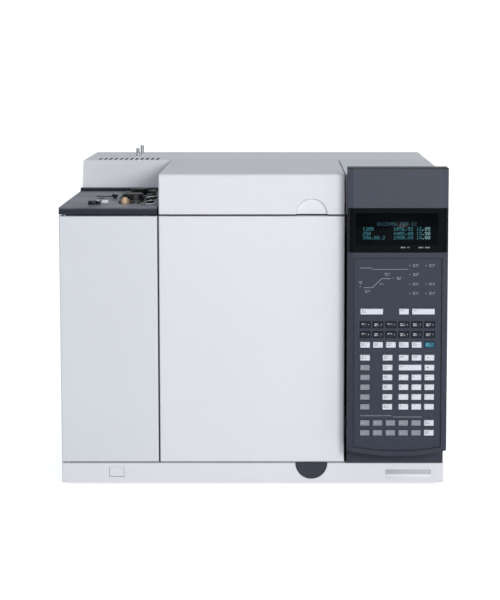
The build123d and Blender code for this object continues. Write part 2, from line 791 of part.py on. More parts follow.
lever_length = 22.0
lever_width = 9.0
lever_height = 5.0
for y, name in zip(inlet_y, ("front_inlet_cap", "back_inlet_cap")):
    cap_z = inlet_top_z + seat_gap
    with BuildPart() as cap:
        with BuildSketch(Plane.XY.offset(cap_z)):
            with Locations((inlet_x, y)):
                RegularPolygon(cap_radius, cap_sides)
        extrude(amount=cap_height)
        chamfer(cap.edges().group_by(Axis.Z)[-1], length=cap_chamfer)
        block(
            (inlet_x, inlet_x + lever_length),
            (y - lever_width / 2, y + lever_width / 2),
            (cap_z, cap_z + lever_height),
        )
        cylinder_z(
            inlet_x,
            y,
            inlet_neck_radius + running_gap,
            (cap_z, inlet_top_z + neck_height + seat_gap),
            Mode.SUBTRACT,
        )
        cylinder_z(inlet_x, y, inlet_neck_radius / 4, (cap_z, cap_z + cap_height), Mode.SUBTRACT)
    save(cap, name)

jet_height = 42.0
detector_base_height = 16.0
for y, name in zip(detector_y, ("front_detector", "back_detector")):
    with BuildPart() as detector:
        cylinder_z(detector_x, y, inlet_tip_radius, (inlet_low_z, liner_z[1]))
        cylinder_z(detector_x, y, detector_radius, (liner_z[1], deck_z[1] + detector_base_height))
        block(
            (detector_x - 26, detector_x + 26),
            (y - 22, y + 22),
            (deck_z[1], deck_z[1] + flange_thickness),
        )
        cylinder_z(
            detector_x,
            y,
            detector_radius * 0.7,
            (deck_z[1] + detector_base_height, deck_z[1] + jet_height),
        )
        cylinder_z(
            detector_x,
            y,
            detector_radius * 0.5,
            (deck_z[1] + jet_height, deck_z[1] + jet_height + 8),
        )
        cylinder_z(
            detector_x,
            y,
            detector_radius * 0.3,
            (deck_z[1] + detector_base_height, deck_z[1] + jet_height + 8),
            Mode.SUBTRACT,
        )
        cylinder_x(
            y,
            deck_z[1] + detector_base_height + 14,
            4.0,
            (detector_x + detector_radius * 0.4, detector_x + 42),
        )
        cylinder_z(detector_x + 38, y, 7.0, (deck_z[1], deck_z[1] + detector_base_height + 22))
    save(detector, name)

line_runs = (
    (inlet_x + inlet_radius, inlet_y[0], inlet_x + line_spread[0]),
    (inlet_x + inlet_radius, inlet_y[1], inlet_x + line_spread[1]),
    (inlet_x - inlet_radius, inlet_y[0], inlet_x - line_spread[0]),
    (inlet_x - inlet_radius, inlet_y[1], inlet_x - line_spread[1]),
)
with BuildPart() as lines:
    for start_x, start_y, run_x in line_runs:
        with BuildLine() as route:
            FilletPolyline(
                (start_x, start_y, line_z),
                (run_x, start_y, line_z),
                (run_x, module_y[0], line_z),
                radius=line_bend,
            )
        with BuildSketch(Plane(origin=route.line @ 0, z_dir=route.line % 0)):
            Circle(line_radius)
        sweep(path=route.line)
save(lines, "gas_lines")

valve_radius = 7.0
valve_height = 10.0
valve_insets = (14.0, 34.0)  # front of the module to its valves
manifold_margin = 3.0
module_base_z = deck_z[1]
module_top_z = module_base_z + module_height
with BuildPart() as modules:
    for index in range(module_count):
        mid_x = left_x + module_inset + index * module_pitch
        block(
            (mid_x - module_width / 2, mid_x + module_width / 2),
            module_y,
            (module_base_z, module_top_z - valve_height),
        )
        for valve_inset in valve_insets:
            cylinder_z(mid_x, module_y[0] + valve_inset, valve_radius, (module_top_z - valve_height, module_top_z))
        block(
            (mid_x - module_width / 2 + manifold_margin, mid_x + module_width / 2 - manifold_margin),
            (module_y[0] + valve_insets[1] + 2 * valve_radius, module_y[1] - manifold_margin),
            (module_top_z - valve_height, module_top_z),
        )
save(modules, "gas_modules")

with BuildPart() as vents:
    for tube_x, tube_y, tube_height in vent_tubes:
        tube_z = (module_top_z, cover_top_z + tube_height)
        cylinder_z(tube_x, tube_y, vent_tube_radius + fit_gap / 2, (tube_z[0], cover_top_z))
        cylinder_z(tube_x, tube_y, vent_tube_radius, (cover_top_z, tube_z[1]))
        cylinder_z(tube_x, tube_y, vent_tube_bore, tube_z, Mode.SUBTRACT)
save(vents, "vent_tubes")

fitting_z = (cover_low_z + cover_top_z) / 2
nut_radius = 7.0
nut_length = 6.0
fitting_bore = 1.6
fitting_y = (module_y[1], rear_y + fitting_proud)
with BuildPart() as fittings:
    for index in range(fitting_count):
        fitting_x = left_x + fitting_inset + index * fitting_pitch
        cylinder_y(fitting_x, fitting_z, thread_radius, fitting_y)
        for nut_y in (rear_y, rear_panel_y[0]):
            with BuildSketch(front_plane(nut_y + (nut_length if nut_y == rear_y else 0))):
                with Locations((fitting_x, fitting_z)):
                    RegularPolygon(nut_radius, 6)
            extrude(amount=nut_length)
        cylinder_y(fitting_x, fitting_z, fitting_bore, fitting_y, Mode.SUBTRACT)
save(fittings, "gas_fittings")

# ---------------------------------------------------------------------------------------------
# Rear: panel, exhaust flap, connectors
# ---------------------------------------------------------------------------------------------
flap_y = rear_y + flap_offset
flap_z = duct_z + duct_height / 2 + 6.0
ear_radius = 5.0
ear_x = (exhaust_x - duct_width / 2 - 8, exhaust_x + duct_width / 2 + 8 - sheet * 2)
bay_mid_x = (bay_x + panel_x[1]) / 2
bay_fan_z = 330.0
bay_fan = (bay_mid_x, bay_fan_z)
bay_fan_radius = 38.0
socket_offset = 30.0  # right of the middle of the bay
power_socket_z = 75.0
power_socket = (bay_mid_x + socket_offset, power_socket_z)
socket_size = (27.0, 20.0)
port_z = (140.0, 170.0, 200.0, 230.0)
port_size = (32.0, 12.0)

with BuildPart() as rear_panel:
    block(panel_x, rear_panel_y, side_z)
    with BuildSketch(front_plane(rear_y)):
        for x in (exhaust_x, intake_x):
            with Locations((x, duct_z)):
                Rectangle(duct_width - 2 * duct_wall, duct_height - 2 * duct_wall)
        with Locations((power_socket)):
            Rectangle(socket_size[0] + 2 * seat_gap, socket_size[1] + 2 * seat_gap)
        for z in port_z:
            with Locations((power_socket[0], z)):
                Rectangle(port_size[0] + 2 * seat_gap, port_size[1] + 2 * seat_gap)
        with Locations(bay_fan):
            with PolarLocations(bay_fan_radius * 0.62, 12):
                Rectangle(bay_fan_radius * 0.7, 5)
    extrude(amount=sheet, mode=Mode.SUBTRACT)
    for x in ear_x:
        with BuildSketch(side_plane(x)):
            with Locations((flap_y, flap_z)):
                Circle(ear_radius)
            with Locations(((rear_y + flap_y) / 2, flap_z)):
                Rectangle(flap_offset, 2 * ear_radius)
            with Locations((flap_y, flap_z)):
                Circle(flap_shaft_radius + running_gap, mode=Mode.SUBTRACT)
        extrude(amount=2 * sheet)
save(rear_panel, "rear_panel")

flap_lap = 5.0
with BuildPart() as flap:
    cylinder_x(flap_y, flap_z, flap_shaft_radius, (ear_x[0] - 1, ear_x[1] + 2 * sheet + 1))
    block(
        (ear_x[0] + 2 * sheet + fit_gap, ear_x[1] - fit_gap),
        (rear_y + seat_gap, rear_y + seat_gap + flap_sheet),
        (duct_z - duct_height / 2 - flap_lap, flap_z - 2),
    )
    block(
        (ear_x[0] + 2 * sheet + fit_gap, ear_x[1] - fit_gap),
        (rear_y + seat_gap, flap_y),
        (flap_z - 2, flap_z + 1),
    )
    block(
        (ear_x[0] + 2 * sheet + fit_gap, ear_x[1] - fit_gap),
        (rear_y + seat_gap + flap_sheet, rear_y + seat_gap + flap_sheet + 6),
        (duct_z - duct_height / 2 - flap_lap, duct_z - duct_height / 2 - flap_lap + flap_sheet),
    )
save(flap, "exhaust_flap")

connector_depth = 22.0
connector_lip = 2.0
flange_margin = 3.0
socket_wall = 2.0
socket_recess = 15.0
with BuildPart() as connectors:
    for centre, size in [(power_socket, socket_size)] + [((power_socket[0], z), port_size) for z in port_z]:
        span_x = (centre[0] - size[0] / 2, centre[0] + size[0] / 2)
        span_z = (centre[1] - size[1] / 2, centre[1] + size[1] / 2)
        block(span_x, (rear_panel_y[0] - connector_depth, rear_y + connector_lip), span_z)
        block(
            inset(span_x, -flange_margin),
            (rear_y, rear_y + connector_lip),
            inset(span_z, -flange_margin),
        )
    for z in port_z:
        with BuildSketch(front_plane(rear_y + 2 * connector_lip)):
            with Locations((power_socket[0], z)):
                RectangleRounded(port_size[0] - 8, port_size[1] - 3, 3)
        extrude(amount=connector_lip)
    socket_x = (power_socket[0] - socket_size[0] / 2, power_socket[0] + socket_size[0] / 2)
    socket_z = (power_socket[1] - socket_size[1] / 2, power_socket[1] + socket_size[1] / 2)
    block(
        inset(socket_x, socket_wall),
        (rear_y + connector_lip - socket_recess, rear_y + connector_lip),
        inset(socket_z, socket_wall),
        mode=Mode.SUBTRACT,
    )
save(connectors, "rear_connectors")

logic_standoff = 12.0
logic_front_gap = 80.0  # fascia to the board
logic_rear_gap = 60.0
logic_low_gap = 52.0  # base top to the board's foot
logic_height = 290.0
logic_hole_inset = 15.0
standoff_radius = 3.0
logic_x = bulkhead_x[1] + logic_standoff
logic_y = (fascia_back_y + logic_front_gap, rear_y - logic_rear_gap)
logic_z = (base_top_z + logic_low_gap, base_top_z + logic_low_gap + logic_height)
logic_mid = (sum(logic_y) / 2, sum(logic_z) / 2)
hole_y = inset(logic_y, logic_hole_inset)
logic_components = (  # Y and Z from the board's middle, width, height, depth
    (-110, 85, 46, 46, 10),
    (-10, 65, 40, 60, 6),
    (90, 75, 60, 24, 12),
    (-100, -35, 60, 40, 8),
    (40, -45, 50, 50, 14),
    (-80, -115, 90, 14, 12),
)
with BuildPart() as logic:
    block((logic_x, logic_x + board_thickness), logic_y, logic_z)
    for y in (hole_y[0], logic_mid[0], hole_y[1]):
        for z in inset(logic_z, logic_hole_inset):
            cylinder_x(y, z, standoff_radius, (bulkhead_x[1], logic_x))
    for offset_y, offset_z, width, height, depth in logic_components:
        middle_y, middle_z = logic_mid[0] + offset_y, logic_mid[1] + offset_z
        block(
            (logic_x + board_thickness, logic_x + board_thickness + depth),
            (middle_y - width / 2, middle_y + width / 2),
            (middle_z - height / 2, middle_z + height / 2),
        )
save(logic, "logic_board")

supply_gap = 30.0  # logic board to the supply
supply_side_gap = 8.0
supply_front_gap = 90.0  # fascia to the supply
supply_length = 200.0
supply_height = 120.5
supply_slot = (40.0, 5.0)
supply_slot_pitch = 12.0
supply_x = (logic_x + supply_gap, panel_x[1] - supply_side_gap)
supply_y = (fascia_back_y + supply_front_gap, fascia_back_y + supply_front_gap + supply_length)
supply_z = (foot_height + sheet, foot_height + sheet + supply_height)
with BuildPart() as supply:
    block(supply_x, supply_y, supply_z)
    chamfer(supply.edges().filter_by(Axis.Y).group_by(Axis.Z)[-1], length=2 * sheet)
    louvres(
        side_plane(supply_x[1]),
        (sum(supply_y) / 2, sum(supply_z) / 2),
        supply_slot,
        (supply_slot_pitch, supply_slot[0]),
        (12, 1),
        sheet,
    )
save(supply, "power_supply")

# ---------------------------------------------------------------------------------------------
# Control fascia, window, keypad, control board
# ---------------------------------------------------------------------------------------------
chin_gap = 0.6
chin_x = (fascia_x[0], fascia_x[1] - 2.3)
chin_chamfer = 2.0
chin_top_z = fascia_arc_end_z + 6.0


def arc_mask(low_z, sag, reach):
    """Sketch outline of what lies under the fascia's lower edge, raised by a margin."""
    with BuildLine() as outline:
        ThreePointArc(
            (fascia_x[0] - reach, low_z),
            (fascia_mid_x, low_z - sag),
            (fascia_x[1] + reach, low_z),
        )
        Polyline(
            (fascia_x[1] + reach, low_z),
            (fascia_x[1] + reach, 0),
            (fascia_x[0] - reach, 0),
            (fascia_x[0] - reach, low_z),
        )
    return outline.line


def bevelled_plan(span, front, back):
    """Plan outline with a bevel down each side of the front."""
    with BuildLine() as outline:
        Polyline(
            (span[0], back),
            (span[0], front + fascia_bevel_depth),
            (span[0] + fascia_bevel_width, front),
            (span[1] - fascia_bevel_width, front),
            (span[1], front + fascia_bevel_depth),
            (span[1], back),
            close=True,
        )
    return outline.line


keypad_x = (fascia_mid_x - keypad_width / 2, fascia_mid_x + keypad_width / 2)
keypad_low_z = fascia_arc_end_z + keypad_margin
window_z = (window_low_z, window_low_z + window_height)
window_y = fascia_front_y + window_thickness
display_x = (fascia_x[0] + 18, fascia_x[1] - 18)
display_z = (window_z[0] + 8, window_z[1] - 8)

with BuildPart() as fascia:
    with BuildSketch(Plane.XY.offset(fascia_arc_end_z - fascia_arc_sag)):
        make_face(bevelled_plan(fascia_x, fascia_front_y, fascia_back_y))
    extrude(amount=fascia_top_z - fascia_arc_end_z + fascia_arc_sag)
    block(
        inset(fascia_x, fascia_wall),
        (fascia_front_y + fascia_wall + fascia_bevel_depth / 3, fascia_back_y),
        (chin_top_z + fascia_wall, fascia_top_z - fascia_wall),
        mode=Mode.SUBTRACT,
    )
    with BuildSketch(front_plane(fascia_back_y)):
        make_face(arc_mask(fascia_arc_end_z, fascia_arc_sag, 0))
    extrude(amount=fascia_depth, mode=Mode.SUBTRACT)
    block(chin_x, (door_y, fascia_back_y), (base_top_z + chin_gap, chin_top_z))
    chin_foot = fascia.edges().filter_by(Axis.Y).group_by(Axis.Z)[0].sort_by(Axis.X)[-1]
    chamfer(chin_foot, length=chin_chamfer)
    block(
        inset(chin_x, fascia_wall),
        (door_y + fascia_wall, fascia_back_y),
        (base_top_z + chin_gap + fascia_wall, chin_top_z - 1),
        mode=Mode.SUBTRACT,
    )
    block(fascia_x, (fascia_front_y, window_y), window_z, Mode.SUBTRACT)
    block(display_x, (fascia_front_y, fascia_back_y), display_z, Mode.SUBTRACT)
    with BuildSketch(front_plane(fascia_front_y + fascia_wall + fascia_bevel_depth)):
        with Locations((fascia_mid_x, keypad_top_z / 2)):
            Rectangle(keypad_width, keypad_top_z)
        make_face(arc_mask(keypad_low_z, fascia_arc_sag, 0), mode=Mode.SUBTRACT)
    extrude(amount=fascia_wall + fascia_bevel_depth, mode=Mode.SUBTRACT)
save(fascia, "control_fascia")

with BuildPart() as window:
    with BuildSketch(Plane.XY.offset(window_z[0] + seat_gap / 2)):
        make_face(bevelled_plan(fascia_x, fascia_front_y + front_recess, fascia_back_y))
    extrude(amount=window_height - seat_gap)
    block(
        (fascia_x[0] - 1, fascia_x[1] + 1),
        (window_y, fascia_back_y),
        window_z,
        mode=Mode.SUBTRACT,
    )
save(window, "display_window")

columns = [first_key_x + index * key_pitch for index in range(6)]
second_x = (columns[1] + columns[2]) / 2 + second_column_shift
edit_rows = [edit_row_top_z - index * edit_row_pitch for index in range(6)]
wide_key = key_width + key_pitch
left_wide_x = (columns[0] + columns[1]) / 2
right_wide_x = (columns[4] + columns[5]) / 2
middle_wide_x = (columns[3] + columns[4]) / 2

# Each group moves as one: name, then the centre and width of every key in it.
key_groups = {
    "prep_run_key": [(left_wide_x, upper_row_z[0], wide_key)],
    "stop_key": [(columns[3], upper_row_z[0], key_width)],
    "start_key": [(right_wide_x, upper_row_z[0], wide_key)],
    "method_keys": [(x, z, key_width) for z in upper_row_z[1:3] for x in columns],
    "function_keys": [(x, upper_row_z[3], key_width) for x in columns[:5]],
    "shift_key": [(columns[5], upper_row_z[3], key_width)],
    "edit_keys": [(columns[0], edit_rows[0], key_width)] + [(second_x, z, key_width) for z in edit_rows],
    "on_off_keys": [(x, edit_rows[0], key_width) for x in columns[3:5]],
    "arrow_keys": [(columns[5], z, key_width) for z in edit_rows[:2]],
    "enter_key": [(middle_wide_x, edit_rows[1], wide_key)],
    "number_keys": [(x, z, key_width) for z in edit_rows[2:] for x in columns[3:]],
    "program_keys": [(columns[0], z, key_width) for z in edit_rows[1:]]
    + [(x, z, key_width) for z in sequence_row_z for x in columns[:5]],
    "record_keys": [(columns[5], z, key_width) for z in sequence_row_z],
}

key_front_y = fascia_front_y + front_recess
plate_front_y = key_front_y + key_proud
plate_back_y = plate_front_y + faceplate_thickness
key_plane_y = plate_back_y + seat_gap

with BuildPart() as faceplate:
    with BuildSketch(front_plane(plate_back_y)):
        with Locations((fascia_mid_x, (keypad_top_z - seat_gap) / 2)):
            Rectangle(keypad_width - 2 * seat_gap, keypad_top_z - seat_gap)
        make_face(arc_mask(keypad_low_z + seat_gap, fascia_arc_sag, 0), mode=Mode.SUBTRACT)
    extrude(amount=faceplate_thickness)
    with BuildSketch(front_plane(plate_back_y)):
        for places in key_groups.values():
            for x, z, width in places:
                with Locations((x, z)):
                    Rectangle(width + 2 * key_gap, key_height + 2 * key_gap)
    extrude(amount=faceplate_thickness, mode=Mode.SUBTRACT)
save(faceplate, "keypad_faceplate")

for name, places in key_groups.items():
    with BuildPart() as keys:
        with BuildSketch(front_plane(key_plane_y)):
            for x, z, width in places:
                with Locations((x, z)):
                    Rectangle(width, key_height)
        extrude(amount=key_plane_y - key_front_y)
        chamfer(keys.edges().group_by(Axis.Y)[0], length=key_chamfer)
        with BuildSketch(front_plane(key_plane_y + key_flange)):
            for x, z, width in places:
                with Locations((x, z)):
                    Rectangle(width + 2 * key_flange_lap, key_height + 2 * key_flange_lap)
        extrude(amount=key_flange)
    save(keys, name)

board_front_y = key_plane_y + key_flange + key_travel + seat_gap
board_span_x = inset(fascia_x, fascia_wall + fit_gap)
module_front_y = window_y + seat_gap
display_depth = 8.0
with BuildPart() as control_board:
    block(
        board_span_x,
        (board_front_y, board_front_y + board_thickness),
        (keypad_low_z + keypad_margin, fascia_top_z - fascia_wall - fit_gap),
    )
    block(
        inset(display_x, seat_gap),
        (module_front_y, board_front_y),
        inset(display_z, seat_gap),
    )
    block(
        (fascia_mid_x - 40, fascia_mid_x + 40),
        (board_front_y + board_thickness, board_front_y + board_thickness + display_depth),
        (window_z[0] - 60, window_z[0] - 30),
    )
save(control_board, "control_board")

# ---------------------------------------------------------------------------------------------
# Door: hinge pins, inner pan with its plug, two outer skins, insulation, gasket
# ---------------------------------------------------------------------------------------------
bracket_height = 3.0
bracket_x = (left_x + skin + fit_gap, left_x + 24)
bracket_z = (deck_z[1], deck_z[1] + bracket_height)
washer_z = (base_top_z, door_z[0] - seat_gap)
pin_head_height = 2.0

with BuildPart() as pins:
    block(bracket_x, (door_y + skin + fit_gap, frame_y + 20), bracket_z)
    cylinder_z(hinge_x, hinge_y, hinge_pin_radius, (door_z[1] - hinge_pin_reach, bracket_z[1]))
    cylinder_z(hinge_x, hinge_y, hinge_pin_radius + 1, (bracket_z[1], bracket_z[1] + pin_head_height))
    cylinder_z(hinge_x, hinge_y, hinge_pin_radius, (foot_height + skin, door_z[0] + hinge_pin_reach))
    cylinder_z(hinge_x, hinge_y, hinge_washer_radius, washer_z)
save(pins, "door_hinge_pins")

pan_gap = skin + 0.3
pan_front_y = door_y + pan_gap
pan_span_x = (left_x, door_right_x)
pan_rear_inset = 1.0
boss_size = 11.0
web_x = (left_skin_x[1] + seat_gap, right_skin_x[0] - seat_gap)
plug_x = inset(oven_x, plug_clearance)
plug_z = inset(oven_z, plug_clearance)
plug_y = pan_back_y + plug_depth

with BuildPart() as pan:
    block(inset(pan_span_x, pan_gap), (pan_front_y, pan_back_y), inset(door_z, pan_gap))
    block(
        inset(pan_span_x, pan_rear_inset),
        (door_y + skin_depth + seat_gap, pan_back_y),
        inset(door_z, pan_rear_inset),
    )
    fillet(pan.edges().group_by(Axis.Y)[-1], radius=panel_radius)
    with BuildSketch(front_plane(plug_y)):
        with Locations((oven_mid_x, oven_mid_z)):
            RectangleRounded(plug_x[1] - plug_x[0], plug_z[1] - plug_z[0], plug_radius)
    extrude(amount=plug_depth)
    fillet(pan.faces().sort_by(Axis.Y)[-1].edges(), radius=panel_radius)
    block(
        inset(pan_span_x, pan_gap + sheet),
        (pan_front_y, pan_back_y - sheet),
        inset(door_z, pan_gap + sheet),
        mode=Mode.SUBTRACT,
    )
    with BuildSketch(front_plane(plug_y - sheet)):
        with Locations((oven_mid_x, oven_mid_z)):
            RectangleRounded(
                plug_x[1] - plug_x[0] - 2 * sheet,
                plug_z[1] - plug_z[0] - 2 * sheet,
                plug_radius - sheet,
            )
    extrude(amount=plug_depth, mode=Mode.SUBTRACT)
    block(
        (left_skin_x[1] - pan_gap, right_skin_x[0] + pan_gap),
        (pan_front_y, door_y + skin_depth + seat_gap),
        door_z,
        mode=Mode.SUBTRACT,
    )
    block(web_x, (pan_front_y, door_y + skin_depth + 2 * seat_gap), inset(door_z, pan_gap))
    for z in (
        (door_z[0] + pan_gap, door_z[0] + hinge_pin_reach + 2),
        (door_z[1] - hinge_pin_reach - 2, door_z[1] - pan_gap),
    ):
        block((left_x + pan_gap, left_x + pan_gap + boss_size), (pan_front_y, door_y + skin_depth), z)
    cylinder_z(hinge_x, hinge_y, hinge_pin_radius + running_gap, door_z, Mode.SUBTRACT)
save(pan, "door_pan")

hinge_hole_radius = hinge_pin_radius + 1.0
for span_x, name in ((left_skin_x, "door_skin_left"), (right_skin_x, "door_skin_right")):
    with BuildPart() as door_skin:
        block(span_x, (door_y, door_y + skin_depth), door_z)
        fillet(door_skin.edges().group_by(Axis.Y)[0], radius=panel_radius)
        offset(amount=-skin, openings=door_skin.faces().sort_by(Axis.Y)[-1])
        if span_x == left_skin_x:
            cylinder_z(hinge_x, hinge_y, hinge_hole_radius, door_z, Mode.SUBTRACT)
    save(door_skin, name)

fill_front_y = door_y + skin_depth + 2 * seat_gap
with BuildPart() as door_fill:
    block(
        inset(pan_span_x, pan_gap + sheet + seat_gap),
        (fill_front_y, pan_back_y - sheet - seat_gap),
        inset(door_z, pan_gap + sheet + seat_gap),
    )
    with BuildSketch(front_plane(plug_y - sheet - seat_gap)):
        with Locations((oven_mid_x, oven_mid_z)):
            RectangleRounded(
                plug_x[1] - plug_x[0] - 2 * sheet - 2 * seat_gap,
                plug_z[1] - plug_z[0] - 2 * sheet - 2 * seat_gap,
                plug_radius - sheet - seat_gap,
            )
    extrude(amount=plug_depth)
save(door_fill, "door_insulation")

gasket_inner = (oven_width + 2 * gasket_offset, oven_height + 2 * gasket_offset)
with BuildPart() as gasket:
    with BuildSketch(front_plane(pan_back_y + gasket_height)):
        with Locations((oven_mid_x, oven_mid_z)):
            RectangleRounded(
                gasket_inner[0] + 2 * gasket_width,
                gasket_inner[1] + 2 * gasket_width,
                plug_radius + gasket_width,
            )
            RectangleRounded(gasket_inner[0], gasket_inner[1], plug_radius, mode=Mode.SUBTRACT)
    extrude(amount=gasket_height)
    chamfer(gasket.edges().group_by(Axis.Y)[-1], length=1.0)
save(gasket, "door_gasket")

# ---------------------------------------------------------------------------------------------
# Detector lid
# ---------------------------------------------------------------------------------------------
with BuildPart() as lid:
    block(lid_x, (door_y, lid_back_y), lid_z)
    fillet(lid.edges().group_by(Axis.Y)[0].group_by(Axis.Z)[-1], radius=lid_front_radius)
    side_edges = lid.edges().filter_by(Axis.Z).group_by(Axis.Y)[0]
    fillet(side_edges, radius=panel_radius)
    block(
        inset(lid_x, lid_wall),
        (door_y + lid_wall, lid_back_y),
        (lid_z[0], lid_z[1] - lid_wall),
        mode=Mode.SUBTRACT,
    )
    with BuildSketch(front_plane(door_y + scoop_depth + lid_wall)):
        with Locations((scoop_x, lid_z[0])):
            Circle(scoop_radius + lid_wall)
    extrude(amount=scoop_depth)
    with BuildSketch(front_plane(door_y)):
        with Locations((scoop_x, lid_z[0])):
            Circle(scoop_radius)
    extrude(amount=-scoop_depth, taper=20, mode=Mode.SUBTRACT)
    block(
        (scoop_x - 2 * scoop_radius, scoop_x + 2 * scoop_radius),
        (door_y - 1, door_y + scoop_depth + 2 * lid_wall),
        (lid_z[0] - 2 * scoop_radius, lid_z[0]),
        mode=Mode.SUBTRACT,
    )
    for x in lug_x:
        with BuildSketch(side_plane(x - lid_lug_width / 2)):
            with Locations((lid_pin_y, lid_pin_z)):
                Circle(lid_eye_radius)
            with Locations((lid_pin_y, (lid_pin_z + lid_z[1] - lid_wall) / 2)):
                Rectangle(2 * lid_eye_radius, lid_z[1] - lid_wall - lid_pin_z)
            with Locations((lid_pin_y, lid_pin_z)):
                Circle(lid_pin_radius + running_gap, mode=Mode.SUBTRACT)
        extrude(amount=lid_lug_width)
save(lid, "detector_lid")

# ---------------------------------------------------------------------------------------------
# Door release and power button
# ---------------------------------------------------------------------------------------------
clip_thickness = 1.0
with BuildPart() as release:
    with BuildSketch(front_plane(door_y + release_thickness)):
        with Locations((scoop_x, base_top_z)):
            Circle(scoop_radius)
            Rectangle(2 * scoop_radius, 2 * scoop_radius, align=(Align.CENTER, Align.MIN), mode=Mode.SUBTRACT)
    extrude(amount=release_thickness)
    chamfer(release.edges().group_by(Axis.Y)[0], length=key_chamfer)
    cylinder_y(
        scoop_x,
        release_stem_z,
        button_stem_radius,
        (door_y + release_thickness, tray_y + sheet + seat_gap + clip_thickness),
    )
    cylinder_y(
        scoop_x,
        release_stem_z,
        button_stem_radius + 2,
        (tray_y + sheet + seat_gap, tray_y + sheet + seat_gap + clip_thickness),
    )
save(release, "door_release")

power_face_y = door_y + 1.0
power_thickness = 5.0
with BuildPart() as power:
    block(
        (power_x - power_width / 2, power_x + power_width / 2),
        (power_face_y, power_face_y + power_thickness),
        (power_z - power_height / 2, power_z + power_height / 2),
    )
    chamfer(power.edges().group_by(Axis.Y)[0], length=key_chamfer)
    cylinder_y(
        power_x,
        power_z,
        power_stem_radius,
        (power_face_y + power_thickness, tray_y + sheet + seat_gap + clip_thickness),
    )
    cylinder_y(
        power_x,
        power_z,
        power_stem_radius + 2,
        (tray_y + sheet + seat_gap, tray_y + sheet + seat_gap + clip_thickness),
    )
save(power, "power_button")
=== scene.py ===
"""Visual model of a bench-top gas chromatograph: finishes, printed marks, small fittings and the studio."""

import json
import logging
import math
from dataclasses import dataclass
from enum import Enum

import bmesh
import bpy
from mathutils import Matrix, Vector

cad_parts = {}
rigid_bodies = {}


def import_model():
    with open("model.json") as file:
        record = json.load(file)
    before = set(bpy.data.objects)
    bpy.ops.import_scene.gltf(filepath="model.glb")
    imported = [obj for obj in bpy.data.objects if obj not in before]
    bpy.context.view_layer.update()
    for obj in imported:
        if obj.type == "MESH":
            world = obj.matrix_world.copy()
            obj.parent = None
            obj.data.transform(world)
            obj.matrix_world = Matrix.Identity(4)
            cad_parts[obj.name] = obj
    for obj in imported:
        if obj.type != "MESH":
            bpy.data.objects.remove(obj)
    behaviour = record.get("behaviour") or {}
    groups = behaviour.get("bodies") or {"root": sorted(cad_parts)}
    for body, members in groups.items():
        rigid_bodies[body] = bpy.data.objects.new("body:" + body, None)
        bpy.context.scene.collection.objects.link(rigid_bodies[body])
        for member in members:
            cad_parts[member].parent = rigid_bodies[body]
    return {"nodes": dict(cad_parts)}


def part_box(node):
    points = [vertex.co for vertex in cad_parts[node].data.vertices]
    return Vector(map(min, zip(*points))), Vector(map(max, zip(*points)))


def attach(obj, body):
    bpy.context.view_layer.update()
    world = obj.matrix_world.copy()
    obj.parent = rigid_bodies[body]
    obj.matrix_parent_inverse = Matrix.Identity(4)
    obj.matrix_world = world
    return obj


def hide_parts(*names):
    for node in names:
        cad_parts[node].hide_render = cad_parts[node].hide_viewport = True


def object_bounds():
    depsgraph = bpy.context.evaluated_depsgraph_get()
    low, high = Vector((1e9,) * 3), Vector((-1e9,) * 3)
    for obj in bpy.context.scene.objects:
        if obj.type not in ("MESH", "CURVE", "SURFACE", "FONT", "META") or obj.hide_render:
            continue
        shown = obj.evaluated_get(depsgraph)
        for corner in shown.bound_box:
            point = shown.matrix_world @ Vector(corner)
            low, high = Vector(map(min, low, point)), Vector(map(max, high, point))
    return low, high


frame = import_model()
CAD_LOW, CAD_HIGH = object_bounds()

log = logging.getLogger("gas_chromatograph")
MM = 0.001
REAR_FACE = 250.0

Spot = tuple[float, float]
Place = tuple[float, float, float]
Mark = tuple[float, float, float, float]
Colour = tuple[int, int, int]


def shade(red: int, green: int, blue: int) -> Mark:
    """Turns display colour values of 0 to 255 into the linear colour that Blender's nodes take.

    Args:
        red: Red channel as a screen shows it.
        green: Green channel as a screen shows it.
        blue: Blue channel as a screen shows it.

    Returns:
        Linear red, green, blue and an alpha of one.
    """

    def linear(value: int) -> float:
        """Gives one channel's linear value."""
        part = value / 255
        return part / 12.92 if part <= 0.04045 else ((part + 0.055) / 1.055) ** 2.4

    return (linear(red), linear(green), linear(blue), 1.0)


class Kind(Enum):
    """How a surface is made, which decides the effects that its material uses."""

    POWDER = "powder paint"
    MOULDED = "moulded plastic"
    GLOSS = "gloss plastic"
    METAL = "machined metal"
    RUBBER = "rubber"
    FIBRE = "woven or felted fibre"
    BOARD = "circuit board"
    PRINT = "printed ink"
    GLOW = "lit mark"


class Axis(Enum):
    """The directions of the frame that turned pieces stand along."""

    Y = "Y"
    Z = "Z"


